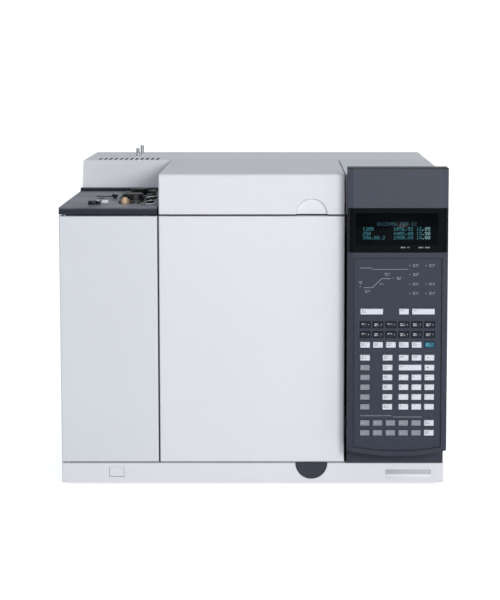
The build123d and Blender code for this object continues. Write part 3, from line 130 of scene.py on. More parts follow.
# ---------------------------------------------------------------------------------------------
# Shared shader effects
# ---------------------------------------------------------------------------------------------
class NodeMaker:
    """Adds nodes to one node tree."""

    def __init__(self, tree: bpy.types.NodeTree) -> None:
        """Takes the tree that gets the nodes.

        Args:
            tree: A shader or Geometry Nodes tree.
        """
        self.tree = tree

    def add(self, kind: str, wires: dict | None = None, **settings: object) -> bpy.types.Node:
        """Adds a node, sets its properties and fills its inputs.

        Args:
            kind: Blender's name of the node.
            wires: Input name or number to a socket or a value.
            settings: The node's own properties.

        Returns:
            The new node.
        """
        node = self.tree.nodes.new(kind)
        for label, value in settings.items():
            setattr(node, label, value)
        for label, value in (wires or {}).items():
            if isinstance(value, bpy.types.NodeSocket):
                self.tree.links.new(value, node.inputs[label])
            else:
                node.inputs[label].default_value = value
        return node

    def maths(self, operation: str, *values: object, clamp: bool = False) -> bpy.types.NodeSocket:
        """Adds a Math node.

        Args:
            operation: Blender's name of the operation.
            values: Its inputs, in order.
            clamp: Whether the result is kept between 0 and 1.

        Returns:
            The socket with the result.
        """
        node = self.add("ShaderNodeMath", dict(enumerate(values)), operation=operation, use_clamp=clamp)
        return node.outputs[0]

    def vectors(self, operation: str, one: object, two: object) -> bpy.types.Node:
        """Adds a Vector Math node with two inputs.

        Args:
            operation: Blender's name of the operation.
            one: Its first input.
            two: Its second input.

        Returns:
            The new node.
        """
        return self.add("ShaderNodeVectorMath", {0: one, 1: two}, operation=operation)

    def effect(
        self, group: bpy.types.NodeTree, place: bpy.types.NodeSocket, **values: float
    ) -> bpy.types.Node:
        """Adds one of the shared effects.

        Args:
            group: The effect's tree.
            place: Socket with the place on the object.
            values: Input names and their values.

        Returns:
            The group node.
        """
        return self.add("ShaderNodeGroup", {"Vector": place, **values}, node_tree=group)

    def cover(
        self, colour: bpy.types.NodeSocket, layer: bpy.types.Node, over: Colour
    ) -> bpy.types.NodeSocket:
        """Lays a second colour over the first where an effect's mask says so.

        Args:
            colour: Socket with the colour below.
            layer: The effect that has the mask.
            over: The colour that is laid over it.

        Returns:
            The socket with the mixed colour.
        """
        wires = {0: layer.outputs["Mask"], 6: colour, 7: shade(*over)}
        return self.add("ShaderNodeMix", wires, data_type="RGBA").outputs[2]


class EffectGroup(NodeMaker):
    """Builds one shader node group with named inputs and outputs."""

    def __init__(self, name: str, inputs: dict[str, float], outputs: dict[str, str]) -> None:
        """Makes the group and its sockets.

        Args:
            name: Name of the group.
            inputs: Number inputs and their usual values; a Vector input always comes first.
            outputs: Output names and their kinds, such as Float or Vector.
        """
        super().__init__(bpy.data.node_groups.new(name, "ShaderNodeTree"))
        face = self.tree.interface
        face.new_socket("Vector", in_out="INPUT", socket_type="NodeSocketVector")
        for label, value in inputs.items():
            face.new_socket(label, in_out="INPUT", socket_type="NodeSocketFloat").default_value = value
        for label, kind in outputs.items():
            face.new_socket(label, in_out="OUTPUT", socket_type=f"NodeSocket{kind}")
        self.ins = self.tree.nodes.new("NodeGroupInput").outputs
        self.exit = self.tree.nodes.new("NodeGroupOutput")

    def noise(
        self, vector: object, scale: object, detail: float, roughness: float = 0.5
    ) -> bpy.types.NodeSocket:
        """Adds a noise texture.

        Args:
            vector: Socket with the place.
            scale: How fine it is.
            detail: How many finer layers it has.
            roughness: How strong those are.

        Returns:
            The socket with its value.
        """
        wires = {"Vector": vector, "Scale": scale, "Detail": detail, "Roughness": roughness}
        return self.add("ShaderNodeTexNoise", wires).outputs[0]

    def remap(
        self, value: object, low: float, high: float, to_low: float, to_high: float
    ) -> bpy.types.NodeSocket:
        """Moves a value from one range to another.

        Args:
            value: Socket with the value.
            low: Low end that it has.
            high: High end that it has.
            to_low: Low end that it gets.
            to_high: High end that it gets.

        Returns:
            The socket with the new value.
        """
        return self.add("ShaderNodeMapRange", {0: value, 1: low, 2: high, 3: to_low, 4: to_high}).outputs[0]

    def tone(self, noise: bpy.types.NodeSocket, amount: bpy.types.NodeSocket) -> bpy.types.NodeSocket:
        """Turns noise into a tone that swings round one.

        Args:
            noise: Socket with the noise.
            amount: Socket with how far the tone swings.

        Returns:
            The socket with the tone.
        """
        return self.maths("MULTIPLY_ADD", self.maths("SUBTRACT", noise, 0.5), amount, 1.0)

    def give(self, **sockets: bpy.types.NodeSocket) -> bpy.types.NodeTree:
        """Joins sockets to the group's outputs, which ends the group.

        Args:
            sockets: Output names and what they give.

        Returns:
            The group's tree.
        """
        for label, socket in sockets.items():
            self.tree.links.new(socket, self.exit.inputs[label])
        return self.tree


def grain_effect() -> bpy.types.NodeTree:
    """Fine random texture: a height for the bump and a tone that varies with it.

    Returns:
        The group's tree.
    """
    group = EffectGroup("Grain", {"Size": 0.001, "Contrast": 1.0}, {"Height": "Float", "Tone": "Float"})
    fine = group.noise(group.ins["Vector"], group.maths("DIVIDE", 1.0, group.ins["Size"]), 2.0, 0.6)
    return group.give(Height=fine, Tone=group.tone(fine, group.ins["Contrast"]))


def drift_effect() -> bpy.types.NodeTree:
    """Slow change of tone over a large surface, as paint and plastic have.

    Returns:
        The group's tree.
    """
    group = EffectGroup("Tone drift", {"Size": 0.2, "Amount": 0.05}, {"Tone": "Float"})
    slow = group.noise(group.ins["Vector"], group.maths("DIVIDE", 1.0, group.ins["Size"]), 1.0)
    return group.give(Tone=group.tone(slow, group.ins["Amount"]))


def edge_effect() -> bpy.types.NodeTree:
    """Rounded look of folded and moulded edges, with a mask for the light that catches them.

    Returns:
        The group's tree.
    """
    group = EffectGroup("Soft edge", {"Radius": 0.0006, "Gain": 3.0}, {"Normal": "Vector", "Mask": "Float"})
    rounded = group.add("ShaderNodeBevel", {"Radius": group.ins["Radius"]}, samples=4).outputs[0]
    flat = group.add("ShaderNodeNewGeometry").outputs["Normal"]
    lost = group.maths("SUBTRACT", 1.0, group.vectors("DOT_PRODUCT", rounded, flat).outputs["Value"])
    return group.give(Normal=rounded, Mask=group.maths("MULTIPLY", lost, group.ins["Gain"], clamp=True))


def brushed_effect() -> bpy.types.NodeTree:
    """Long fine scratches of rolled or brushed metal.

    Returns:
        The group's tree.
    """
    group = EffectGroup("Brushed lines", {"Pitch": 0.0006}, {"Height": "Float", "Tone": "Float"})
    long_way = group.vectors("MULTIPLY", group.ins["Vector"], (0.04, 1.0, 1.0)).outputs[0]
    lines = group.noise(long_way, group.maths("DIVIDE", 1.0, group.ins["Pitch"]), 3.0)
    return group.give(Height=lines, Tone=group.remap(lines, 0.2, 0.8, 0.82, 1.12))


def fibre_effect() -> bpy.types.NodeTree:
    """Crossed strands of felt and woven rope.

    Returns:
        The group's tree.
    """
    group = EffectGroup("Fibre", {"Pitch": 0.003}, {"Height": "Float", "Tone": "Float"})
    scale = group.maths("DIVIDE", 1.0, group.ins["Pitch"])
    wires = {"Vector": group.ins["Vector"], "Scale": scale, "Distortion": 3.0, "Detail": 2.0}
    one = group.add("ShaderNodeTexWave", wires, bands_direction="DIAGONAL")
    two = group.add("ShaderNodeTexWave", wires, bands_direction="Z")
    strands = group.maths("MAXIMUM", one.outputs[1], two.outputs[1])
    return group.give(Height=strands, Tone=group.remap(strands, 0.0, 1.0, 0.78, 1.05))


def dust_and_sheen_effect() -> bpy.types.NodeTree:
    """Mask of faint dust on upward faces; where its amount is large it is a painted sheen as well.

    Returns:
        The group's tree.
    """
    group = EffectGroup("Dust_and_sheen", {"Amount": 0.1}, {"Mask": "Float"})
    normal = group.add("ShaderNodeNewGeometry").outputs["Normal"]
    up = group.maths("MAXIMUM", group.add("ShaderNodeSeparateXYZ", {0: normal}).outputs[2], 0.0)
    patches = group.maths("MULTIPLY", up, group.noise(group.ins["Vector"], 14.0, 4.0))
    return group.give(Mask=group.maths("MULTIPLY", patches, group.ins["Amount"]))


def band_effect() -> bpy.types.NodeTree:
    """Mask of a level band across an object, with soft ends.

    Returns:
        The group's tree.
    """
    group = EffectGroup("Level band", {"Low": 0.0, "High": 1.0, "Soft": 0.0004}, {"Mask": "Float"})
    level = group.add("ShaderNodeSeparateXYZ", {0: group.ins["Vector"]}).outputs[2]
    ends = []
    for label in ("Low", "High"):
        over = group.maths("SUBTRACT", level, group.ins[label])
        ends.append(group.maths("DIVIDE", over, group.ins["Soft"], clamp=True))
    return group.give(Mask=group.maths("SUBTRACT", *ends, clamp=True))


GRAIN = grain_effect()
DRIFT = drift_effect()
EDGE = edge_effect()
BRUSHED = brushed_effect()
FIBRE = fibre_effect()
DUST_AND_SHEEN = dust_and_sheen_effect()
BAND = band_effect()


# ---------------------------------------------------------------------------------------------
# Finishes
# ---------------------------------------------------------------------------------------------
MADE_FINISHES: dict[str, bpy.types.Material] = {}
# Colour of dust on upward faces, and of the painted sheen that the same mask lays on the inlet plate.
DUST_AND_SHEEN_COLOUR = (184, 189, 200)


@dataclass(frozen=True)
class Band:
    """A level band of another colour across a finish, in metres."""

    low: float
    high: float
    colour: Colour
    soft: float = 0.0004


@dataclass(frozen=True)
class Finish:
    """One finish: its colour as a screen shows it, its gloss and its surface texture."""

    name: str
    kind: Kind
    colour: Colour
    roughness: float = 0.5
    grain_size: float = 0.0009
    grain_depth: float = 0.00003
    grain_tone: float = 0.06
    drift: float = 0.05
    edge_radius: float = 0.0007
    edge_highlight: float = 0.12
    dust_and_sheen: float = 0.0
    metallic: float = 0.0
    coat: float = 0.0
    specular: float = 0.5
    glow: float = 0.0
    bands: tuple[Band, ...] = ()

    def material(self) -> bpy.types.Material:
        """Builds the finish's material once and gives it again after that.

        Returns:
            The material.
        """
        if self.name in MADE_FINISHES:
            return MADE_FINISHES[self.name]
        made = bpy.data.materials.new(f"{self.name}_finish")
        MADE_FINISHES[self.name] = made
        made.use_nodes = True
        made.node_tree.nodes.clear()
        tree = NodeMaker(made.node_tree)
        place = tree.add("ShaderNodeTexCoord").outputs["Object"]
        texture = self._texture(tree, place)
        edge = tree.effect(EDGE, place, Radius=self.edge_radius)
        drift = tree.effect(DRIFT, place, Amount=self.drift)
        tone = tree.maths("MULTIPLY", texture.outputs["Tone"], drift.outputs["Tone"])
        # The edge mask lifts the colour: a painted highlight on rounded edges.
        highlighted_tone = tree.maths("MULTIPLY_ADD", edge.outputs["Mask"], self.edge_highlight, tone)
        colour = tree.vectors("MULTIPLY", shade(*self.colour)[:3], highlighted_tone).outputs[0]
        # Dust on upward faces; a large amount also paints a sheen on them.
        if self.dust_and_sheen:
            colour = tree.cover(colour, tree.effect(DUST_AND_SHEEN, place, Amount=self.dust_and_sheen), DUST_AND_SHEEN_COLOUR)
        for band in self.bands:
            layer = tree.effect(BAND, place, Low=band.low, High=band.high, Soft=band.soft)
            colour = tree.cover(colour, layer, band.colour)
        bump = {
            "Strength": 1.0,
            "Distance": self.grain_depth,
            "Height": texture.outputs["Height"],
            "Normal": edge.outputs["Normal"],
        }
        wires = {
            "Base Color": colour,
            "Roughness": tree.maths("MULTIPLY", texture.outputs["Tone"], self.roughness, clamp=True),
            "Normal": tree.add("ShaderNodeBump", bump).outputs[0],
            "Metallic": self.metallic,
            "Coat Weight": self.coat,
            "Specular IOR Level": self.specular,
        }
        if self.glow:
            wires |= {"Emission Color": colour, "Emission Strength": self.glow}
        surface = tree.add("ShaderNodeBsdfPrincipled", wires)
        tree.add("ShaderNodeOutputMaterial", {0: surface.outputs[0]})
        return made

    def _texture(self, tree: NodeMaker, place: bpy.types.NodeSocket) -> bpy.types.Node:
        """Adds the texture that suits the kind of surface.

        Args:
            tree: The material's tree.
            place: Socket with the place on the object.

        Returns:
            A node with Height and Tone outputs.
        """
        if self.kind is Kind.METAL:
            return tree.effect(BRUSHED, place, Pitch=self.grain_size)
        if self.kind is Kind.FIBRE:
            return tree.effect(FIBRE, place, Pitch=self.grain_size)
        return tree.effect(GRAIN, place, Size=self.grain_size, Contrast=self.grain_tone)

    def dress(self, *nodes: str) -> None:
        """Gives carried-over CAD nodes this finish.

        Args:
            nodes: Names of the nodes.
        """
        for node in nodes:
            mesh = frame["nodes"][node].data
            mesh.materials.clear()
            mesh.materials.append(self.material())


DOOR_WHITE = Finish("door_white", Kind.POWDER, (233, 234, 237), 0.42, dust_and_sheen=0.03)
LID_WHITE = Finish("lid_white", Kind.MOULDED, (233, 233, 237), 0.5)
SKIN_GREY = Finish("skin_grey", Kind.POWDER, (226, 228, 233), 0.42)
# Lighter than the other cover paint: painted light that lifts the cover's shaded front.
NOSE_GREY = Finish("nose_grey", Kind.POWDER, (240, 240, 244), 0.45, dust_and_sheen=0.05)
COVER_GREY = Finish("cover_grey", Kind.POWDER, (218, 220, 226), 0.45, dust_and_sheen=0.05)
BAY_GREY = Finish("bay_grey", Kind.POWDER, (228, 231, 238), 0.45, dust_and_sheen=0.05)
TRIM_WHITE = Finish("trim_white", Kind.MOULDED, (234, 234, 239), 0.5)
TRAY_STEEL = Finish("tray_steel", Kind.POWDER, (190, 192, 196), 0.5)
FOOT_RUBBER = Finish("foot_rubber", Kind.RUBBER, (44, 44, 46), 0.8, grain_tone=0.3)
# Most of the plate's dust amount is a painted sheen that lightens its top, the light it reflects.
PLATE_DARK = Finish("plate_dark", Kind.MOULDED, (42, 45, 56), 0.4, grain_tone=0.15, dust_and_sheen=0.78, specular=0.25)
LATCH_DARK = Finish("latch_dark", Kind.MOULDED, (56, 60, 69), 0.5, grain_tone=0.15, specular=0.3)
FASCIA_BANDS = (
    # Lighter upper part with a 30 mm soft end: painted light on the fascia's top.
    Band(0.402, 0.520, (70, 74, 86), 0.03),
    Band(0.3638, 0.4302, (15, 18, 23)),
    Band(0.4878, 0.520, (10, 11, 14)),
)
FASCIA_DARK = Finish(
    "fascia_dark",
    Kind.MOULDED,
    (59, 62, 74),
    0.45,
    grain_tone=0.12,
    edge_highlight=0.05,
    specular=0.25,
    bands=FASCIA_BANDS,
)
FACEPLATE_DARK = Finish("faceplate_dark", Kind.PRINT, (58, 63, 77), 0.45, grain_tone=0.1, specular=0.2)
WINDOW_BLACK = Finish(
    "window_black", Kind.GLOSS, (11, 14, 19), 0.3, grain_depth=0.0, grain_tone=0.1, specular=0.06
)
SCREEN_BLACK = Finish(
    "screen_black", Kind.GLOSS, (5, 9, 12), 0.3, grain_depth=0.0, grain_tone=0.4, specular=0.08
)
KEY_DARK = Finish("key_dark", Kind.MOULDED, (34, 38, 50), 0.45, grain_tone=0.1, specular=0.25)
KEY_GREY = Finish("key_grey", Kind.MOULDED, (138, 142, 152), 0.5, grain_tone=0.08)
KEY_WHITE = Finish("key_white", Kind.MOULDED, (222, 226, 234), 0.5)
KEY_TEAL = Finish("key_teal", Kind.MOULDED, (20, 96, 120), 0.45, grain_tone=0.1)
OVEN_STEEL = Finish(
    "oven_steel", Kind.METAL, (190, 190, 192), 0.32, grain_depth=0.00002, metallic=1.0, edge_highlight=0.2
)
FRAME_BLACK = Finish("frame_black", Kind.POWDER, (44, 45, 48), 0.6, grain_tone=0.25)
WOOL = Finish(
    "insulation_wool", Kind.FIBRE, (224, 220, 208), 0.95, grain_size=0.006, grain_depth=0.0008, drift=0.15
)
GASKET = Finish("gasket_rope", Kind.FIBRE, (116, 114, 112), 0.9, grain_size=0.003, grain_depth=0.0006)
ZINC = Finish("zinc_steel", Kind.METAL, (186, 188, 192), 0.4, grain_size=0.004, metallic=1.0)
BRIGHT = Finish("bright_steel", Kind.METAL, (214, 214, 216), 0.18, grain_depth=0.00001, metallic=1.0)
BRASS = Finish("brass_fittings", Kind.METAL, (206, 168, 98), 0.28, grain_depth=0.00001, metallic=1.0)
HEATER = Finish("heater_wire", Kind.METAL, (112, 100, 92), 0.55, grain_size=0.002, metallic=1.0)
AMBER = Finish("column_amber", Kind.GLOSS, (150, 92, 40), 0.25, grain_tone=0.2, coat=0.3)
CAP_BLACK = Finish("cap_black", Kind.MOULDED, (26, 27, 31), 0.4, grain_tone=0.2)
MODULE_GREY = Finish("module_grey", Kind.MOULDED, (120, 124, 130), 0.55)
BOARD_GREEN = Finish("board_green", Kind.BOARD, (28, 92, 58), 0.4, grain_size=0.004, grain_tone=0.5)
SUPPLY_CASE = Finish("supply_case", Kind.METAL, (170, 172, 176), 0.45, grain_size=0.003, metallic=1.0)
COPPER = Finish("copper_nut", Kind.METAL, (240, 208, 172), 0.5, grain_depth=0.00001, metallic=0.7)
INK_WHITE = Finish("ink_white", Kind.PRINT, (226, 229, 235), 0.6, edge_highlight=0.0)
INK_SOFT = Finish("ink_soft", Kind.PRINT, (168, 173, 184), 0.6, edge_highlight=0.0)
INK_DARK = Finish("ink_dark", Kind.PRINT, (70, 78, 94), 0.6, edge_highlight=0.0)
INK_FAINT = Finish("ink_faint", Kind.PRINT, (128, 136, 150), 0.6, edge_highlight=0.0)
# Painted shade: the dark line round the faceplate stands for the shadow at the edge of its recess.
RIM_PAINTED_SHADE = Finish("rim_painted_shade", Kind.PRINT, (34, 38, 48), 0.6, edge_highlight=0.0)
LABEL_BARE = Finish("label_bare", Kind.PRINT, (244, 244, 246), 0.55, edge_highlight=0.0)
LABEL_GREY = Finish("label_grey", Kind.PRINT, (196, 198, 204), 0.55, edge_highlight=0.0)
DIGIT_GLOW = Finish("digit_glow", Kind.GLOW, (66, 150, 164), 0.5, grain_tone=0.6, edge_highlight=0.0, glow=0.42)
DIGIT_DIM = Finish("digit_dim", Kind.GLOW, (58, 112, 128), 0.5, grain_tone=0.6, edge_highlight=0.0, glow=0.25)
DIGIT_BRIGHT = Finish(
    "digit_bright", Kind.GLOW, (160, 212, 214), 0.5, grain_tone=0.5, edge_highlight=0.0, glow=0.6
)
INK_TEAL = Finish("ink_teal", Kind.PRINT, (120, 212, 222), 0.6, edge_highlight=0.0)
CLUTTER_GREEN = Finish("fitting_green", Kind.MOULDED, (52, 60, 48), 0.5, grain_size=0.004, grain_tone=0.8)
LAMP_CLEAR = Finish("lamp_clear", Kind.GLOSS, (118, 127, 136), 0.2, grain_tone=0.2, coat=0.4)
SOCKET_BLACK = Finish("socket_black", Kind.MOULDED, (22, 22, 24), 0.5, grain_tone=0.3)


# ---------------------------------------------------------------------------------------------
# Mesh and Geometry Nodes helpers
# ---------------------------------------------------------------------------------------------
def linked(name: str, data: bpy.types.ID) -> bpy.types.Object:
    """Makes an object and links it to the scene.

    Args:
        name: Name of the object.
        data: Its mesh, curve, light or camera.

    Returns:
        The object.
    """
    item = bpy.data.objects.new(name, data)
    bpy.context.scene.collection.objects.link(item)
    return item


def frozen(holder: bpy.types.Object) -> bpy.types.Mesh:
    """Gives an object's evaluated shape as a plain mesh and removes the object with its data.

    Args:
        holder: The object, with or without modifiers.

    Returns:
        The mesh.
    """
    bpy.context.view_layer.update()
    result = bpy.data.meshes.new_from_object(holder.evaluated_get(bpy.context.evaluated_depsgraph_get()))
    holder.modifiers.clear()
    bpy.data.batch_remove((holder, holder.data))
    return result


def welded(node: str) -> bmesh.types.BMesh:
    """Copies a CAD node's mesh with its corners joined.

    Args:
        node: Name of the CAD node.

    Returns:
        The copy, in metres, which the caller frees.
    """
    draft = bmesh.new()
    draft.from_mesh(frame["nodes"][node].data)
    bmesh.ops.remove_doubles(draft, verts=draft.verts, dist=1e-6)
    return draft


class MeshDraft:
    """Collects closed solids, given in millimetres, into one mesh piece."""

    def __init__(self) -> None:
        """Starts with nothing in it."""
        self.mesh = bmesh.new()

    def plate(self, low: Place, high: Place, soft: float = 0.0) -> None:
        """Adds a block between two corners.

        Args:
            low: Lowest corner.
            high: Highest corner.
            soft: Radius that its edges are rounded by.
        """
        size = [high[i] - low[i] for i in range(3)]
        middle = [(high[i] + low[i]) / 2 for i in range(3)]
        turn = Matrix.Translation(middle) @ Matrix.Diagonal((*size, 1))
        new = bmesh.ops.create_cube(self.mesh, size=1.0, matrix=turn)["verts"]
        if soft:
            edges = list({edge for vert in new for edge in vert.link_edges})
            bmesh.ops.bevel(self.mesh, geom=edges, offset=soft, segments=2, affect="EDGES", profile=0.5)

    def lathe(self, centre: Place, axis: Axis, profile: tuple[Spot, ...], sides: int = 24) -> None:
        """Adds a solid of revolution.

        Args:
            centre: Where the profile's zero lies.
            axis: The axis that it turns about.
            profile: Radius and distance along the axis, from one end to the other; radius 0 closes it.
            sides: Number of facets round it.
        """
        turn = Matrix.Rotation(-math.pi / 2, 4, "X") if axis is Axis.Y else Matrix.Identity(4)
        place = Matrix.Translation(centre) @ turn
        rows = []
        for radius, along in profile:
            angles = [2 * math.pi * side / sides for side in range(sides if radius else 1)]
            spots = [Vector((radius * math.cos(angle), radius * math.sin(angle), along)) for angle in angles]
            rows.append([self.mesh.verts.new(place @ spot) for spot in spots])
        for one, two in zip(rows, rows[1:]):
            for side in range(sides):
                after = (side + 1) % sides
                turned = ((one, side), (one, after), (two, after), (two, side))
                corners = [row[spot % len(row)] for row, spot in turned]
                self.mesh.faces.new(list(dict.fromkeys(corners)))

    def prism(self, outline: list[Spot], y: float, depth: float) -> None:
        """Adds a flat shape that stands upright and faces the front.

        Args:
            outline: Corners as X and Z.
            y: Where its front face lies.
            depth: How thick it is.
        """
        front = [self.mesh.verts.new((x, y, z)) for x, z in outline]
        back = [self.mesh.verts.new((x, y + depth, z)) for x, z in outline]
        self.mesh.faces.new(front)
        self.mesh.faces.new(list(reversed(back)))
        for index in range(len(outline)):
            after = (index + 1) % len(outline)
            self.mesh.faces.new([front[after], front[index], back[index], back[after]])

    def words(self, text: str, x: float, z: float, y: float, height: float, depth: float) -> None:
        """Adds lettering that faces the front.

        Args:
            text: What it says.
            x: Left end.
            z: Foot of the letters.
            y: Where its front lies.
            height: Height of a capital.
            depth: How thick it is.
        """
        curve = bpy.data.curves.new("lettering", "FONT")
        curve.body = text
        curve.size = height / 0.7
        curve.resolution_u = 2
        curve.extrude = depth / 2
        curve.offset = 0.012 * height
        flat = frozen(linked("lettering", curve))
        flat.transform(Matrix.Translation((x, y + depth / 2, z)) @ Matrix.Rotation(math.pi / 2, 4, "X"))
        self.mesh.from_mesh(flat)
        bpy.data.meshes.remove(flat)

    def data(self, name: str) -> bpy.types.Mesh:
        """Turns the draft into a mesh in metres, which ends the draft.

        Args:
            name: Name of the mesh.

        Returns:
            The mesh.
        """
        bmesh.ops.recalc_face_normals(self.mesh, faces=self.mesh.faces)
        made = bpy.data.meshes.new(name)
        self.mesh.transform(Matrix.Scale(MM, 4))
        self.mesh.to_mesh(made)
        self.mesh.free()
        return made

    def piece(
        self, name: str, finish: Finish, slot: str, body: str = "chassis", smooth: float = 35.0
    ) -> None:
        """Turns the draft into a piece that rides on a body; see settle.

        Args:
            name: Name of the piece.
            finish: What it is finished with.
            slot: Not used.
            body: The CAD body that it moves with.
            smooth: Sharpest angle, in degrees, that is shaded smooth.
        """
        settle(self.data(name), name, finish, body, smooth)


def settle(
    data: bpy.types.Mesh, name: str, finish: Finish, body: str = "chassis", smooth: float = 35.0
) -> bpy.types.Object:
    """Makes an object of a mesh, finishes it and lets it ride on a body.

    Args:
        data: The mesh, in metres and in its final place.
        name: Name of the piece.
        finish: What it is finished with.
        body: The CAD body that it moves with.
        smooth: Sharpest angle, in degrees, that is shaded smooth.

    Returns:
        The piece.
    """
    data.name = name
    data.materials.clear()
    data.materials.append(finish.material())
    data.shade_smooth()
    data.set_sharp_from_angle(angle=math.radians(smooth))
    item = linked(name, data)
    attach(item, body)
    log.info("%s: %d faces on %s", name, len(data.polygons), body)
    return item


class PatternTree(NodeMaker):
    """One Geometry Nodes tree with named inputs, which ends in Realize Instances and Set Material."""

    def __init__(self, name: str, numbers: dict[str, float]) -> None:
        """Makes the tree, its sockets and its way in.

        Args:
            name: Name of the tree.
            numbers: Number inputs and their usual values.
        """
        super().__init__(bpy.data.node_groups.new(name, "GeometryNodeTree"))
        face = self.tree.interface
        face.new_socket("Geometry", in_out="INPUT", socket_type="NodeSocketGeometry")
        for label, value in numbers.items():
            face.new_socket(label, in_out="INPUT", socket_type="NodeSocketFloat").default_value = value
        face.new_socket("Material", in_out="INPUT", socket_type="NodeSocketMaterial")
        face.new_socket("Geometry", in_out="OUTPUT", socket_type="NodeSocketGeometry")
        self.ins = self.tree.nodes.new("NodeGroupInput").outputs

    def shape(self, kind: str, wires: dict, **settings: object) -> bpy.types.NodeSocket:
        """Adds one node and gives its first output; see add."""
        return self.add(f"GeometryNode{kind}", wires, **settings).outputs[0]

    def vector(self, x: object = 0.0, y: object = 0.0, z: object = 0.0) -> bpy.types.NodeSocket:
        """Joins three numbers or sockets into a vector."""
        return self.add("ShaderNodeCombineXYZ", {0: x, 1: y, 2: z}).outputs[0]

    def scatter(self, item: bpy.types.NodeSocket, **wires: bpy.types.NodeSocket) -> "PatternTree":
        """Sets a shape on every point of the seed and ends the tree.

        Args:
            item: The shape's socket.
            wires: Rotation or Scale of the copies.

        Returns:
            The tree.
        """
        spots = self.shape("MeshToPoints", {0: self.ins["Geometry"]})
        return self.close(self.shape("InstanceOnPoints", {"Points": spots, "Instance": item, **wires}))

    def close(self, pattern: bpy.types.NodeSocket) -> "PatternTree":
        """Ends the tree.

        Args:
            pattern: The socket with the whole pattern.

        Returns:
            The tree.
        """
        real = self.shape("RealizeInstances", {0: pattern})
        painted = self.shape("SetMaterial", {"Geometry": real, "Material": self.ins["Material"]})
        self.tree.links.new(painted, self.tree.nodes.new("NodeGroupOutput").inputs[0])
        return self

    def grow(
        self,
        name: str,
        seed: bpy.types.Mesh,
        values: dict[str, float],
        finish: Finish,
        slot: str,
        body: str = "chassis",
    ) -> bpy.types.Object:
        """Runs the tree on a mesh and keeps the result as a plain piece.

        Args:
            name: Name of the piece.
            seed: The points or path that the pattern follows, in metres.
            values: Input names and their values.
            finish: What the piece is finished with.
            slot: Not used.
            body: The CAD body that it moves with.

        Returns:
            The piece.
        """
        holder = linked(f"{name}_seed", seed)
        modifier = holder.modifiers.new("pattern", "NODES")
        modifier.node_group = self.tree
        for item in self.tree.interface.items_tree:
            if item.in_out == "INPUT" and item.name in values:
                modifier[item.identifier] = float(values[item.name])
            if item.in_out == "INPUT" and item.name == "Material":
                modifier[item.identifier] = finish.material()
        return settle(frozen(holder), name, finish, body)


def points_mesh(points: list[Place | Mark]) -> bpy.types.Mesh:
    """Makes a mesh of loose points.

    Args:
        points: Places in millimetres; a fourth value is kept as the attribute wide, which is one without it.

    Returns:
        The mesh, in metres.
    """
    data = bpy.data.meshes.new("points")
    data.from_pydata([[value * MM for value in point[:3]] for point in points], [], [])
    stretch = data.attributes.new("wide", "FLOAT", "POINT")
    stretch.data.foreach_set("value", [point[3] if len(point) > 3 else 1.0 for point in points])
    return data


def path_mesh(points: tuple[Place, ...]) -> bpy.types.Mesh:
    """Makes a mesh of one open line.

    Args:
        points: Its corners in millimetres.

    Returns:
        The mesh, in metres.
    """
    data = bpy.data.meshes.new("path")
    joined = [(index, index + 1) for index in range(len(points) - 1)]
    data.from_pydata([[value * MM for value in point] for point in points], joined, [])
    return data


def screw_tree() -> PatternTree:
    """Pan-head screws with a six-sided socket, which stand up along Z before they are turned.

    Returns:
        The tree.
    """
    numbers = {"Head radius": 0.003, "Head height": 0.0015, "Socket radius": 0.0014}
    numbers |= {"Turn X": 0.0, "Turn Y": 0.0}
    made = PatternTree("Screws", numbers)
    ins = made.ins
    shapes = []
    for sides, radius, share in ((20, ins["Head radius"], 0.5), (6, ins["Socket radius"], 1.0)):
        solid = made.shape("MeshCylinder", {"Vertices": sides, "Radius": radius, "Depth": ins["Head height"]})
        up = made.vector(z=made.maths("MULTIPLY", ins["Head height"], share))
        shapes.append(made.shape("Transform", {"Geometry": solid, "Translation": up}))
    screw = made.shape("MeshBoolean", dict(enumerate(shapes)))
    return made.scatter(screw, Rotation=made.vector(ins["Turn X"], ins["Turn Y"]))


def mark_tree() -> PatternTree:
    """Small printed bars or dots, each as wide as its point says.

    Returns:
        The tree.
    """
    made = PatternTree("Marks", {"Width": 0.001, "Height": 0.0005, "Depth": 0.00005})
    size = made.vector(made.ins["Width"], made.ins["Depth"], made.ins["Height"])
    bar = made.shape("MeshCube", {"Size": size})
    wide = made.shape("InputNamedAttribute", {"Name": "wide"}, data_type="FLOAT")
    return made.scatter(bar, Scale=made.vector(wide, 1.0, 1.0))


def ring_tree() -> PatternTree:
    """Rings of wire round the Y axis, each as large as its point says.

    Returns:
        The tree.
    """
    made = PatternTree("Wire rings", {"Radius": 0.085, "Wire": 0.0004})
    loop = made.shape("CurvePrimitiveCircle", {"Resolution": 72, "Radius": made.ins["Radius"]})
    wire = made.shape("CurvePrimitiveCircle", {"Resolution": 6, "Radius": made.ins["Wire"]})
    tube = made.shape("CurveToMesh", {"Curve": loop, "Profile Curve": wire})
    stand = made.shape("Transform", {"Geometry": tube, "Rotation": (math.pi / 2, 0.0, 0.0)})
    wide = made.shape("InputNamedAttribute", {"Name": "wide"}, data_type="FLOAT")
    return made.scatter(stand, Scale=made.vector(wide, 1.0, wide))


def tube_tree() -> PatternTree:
    """Round tube or wire that follows a line, with bends of a set radius.

    Returns:
        The tree.
    """
    made = PatternTree("Bent tube", {"Wire": 0.0008, "Bend": 0.004})
    line = made.shape("MeshToCurve", {0: made.ins["Geometry"]})
    bends = {"Curve": line, "Radius": made.ins["Bend"], "Limit Radius": True, "Count": 6}
    bent = made.shape("FilletCurve", bends, mode="POLY")
    wire = made.shape("CurvePrimitiveCircle", {"Resolution": 10, "Radius": made.ins["Wire"]})
    return made.close(made.shape("CurveToMesh", {"Curve": bent, "Profile Curve": wire, "Fill Caps": True}))


SCREWS = screw_tree()
MARKS = mark_tree()
RINGS = ring_tree()
TUBES = tube_tree()


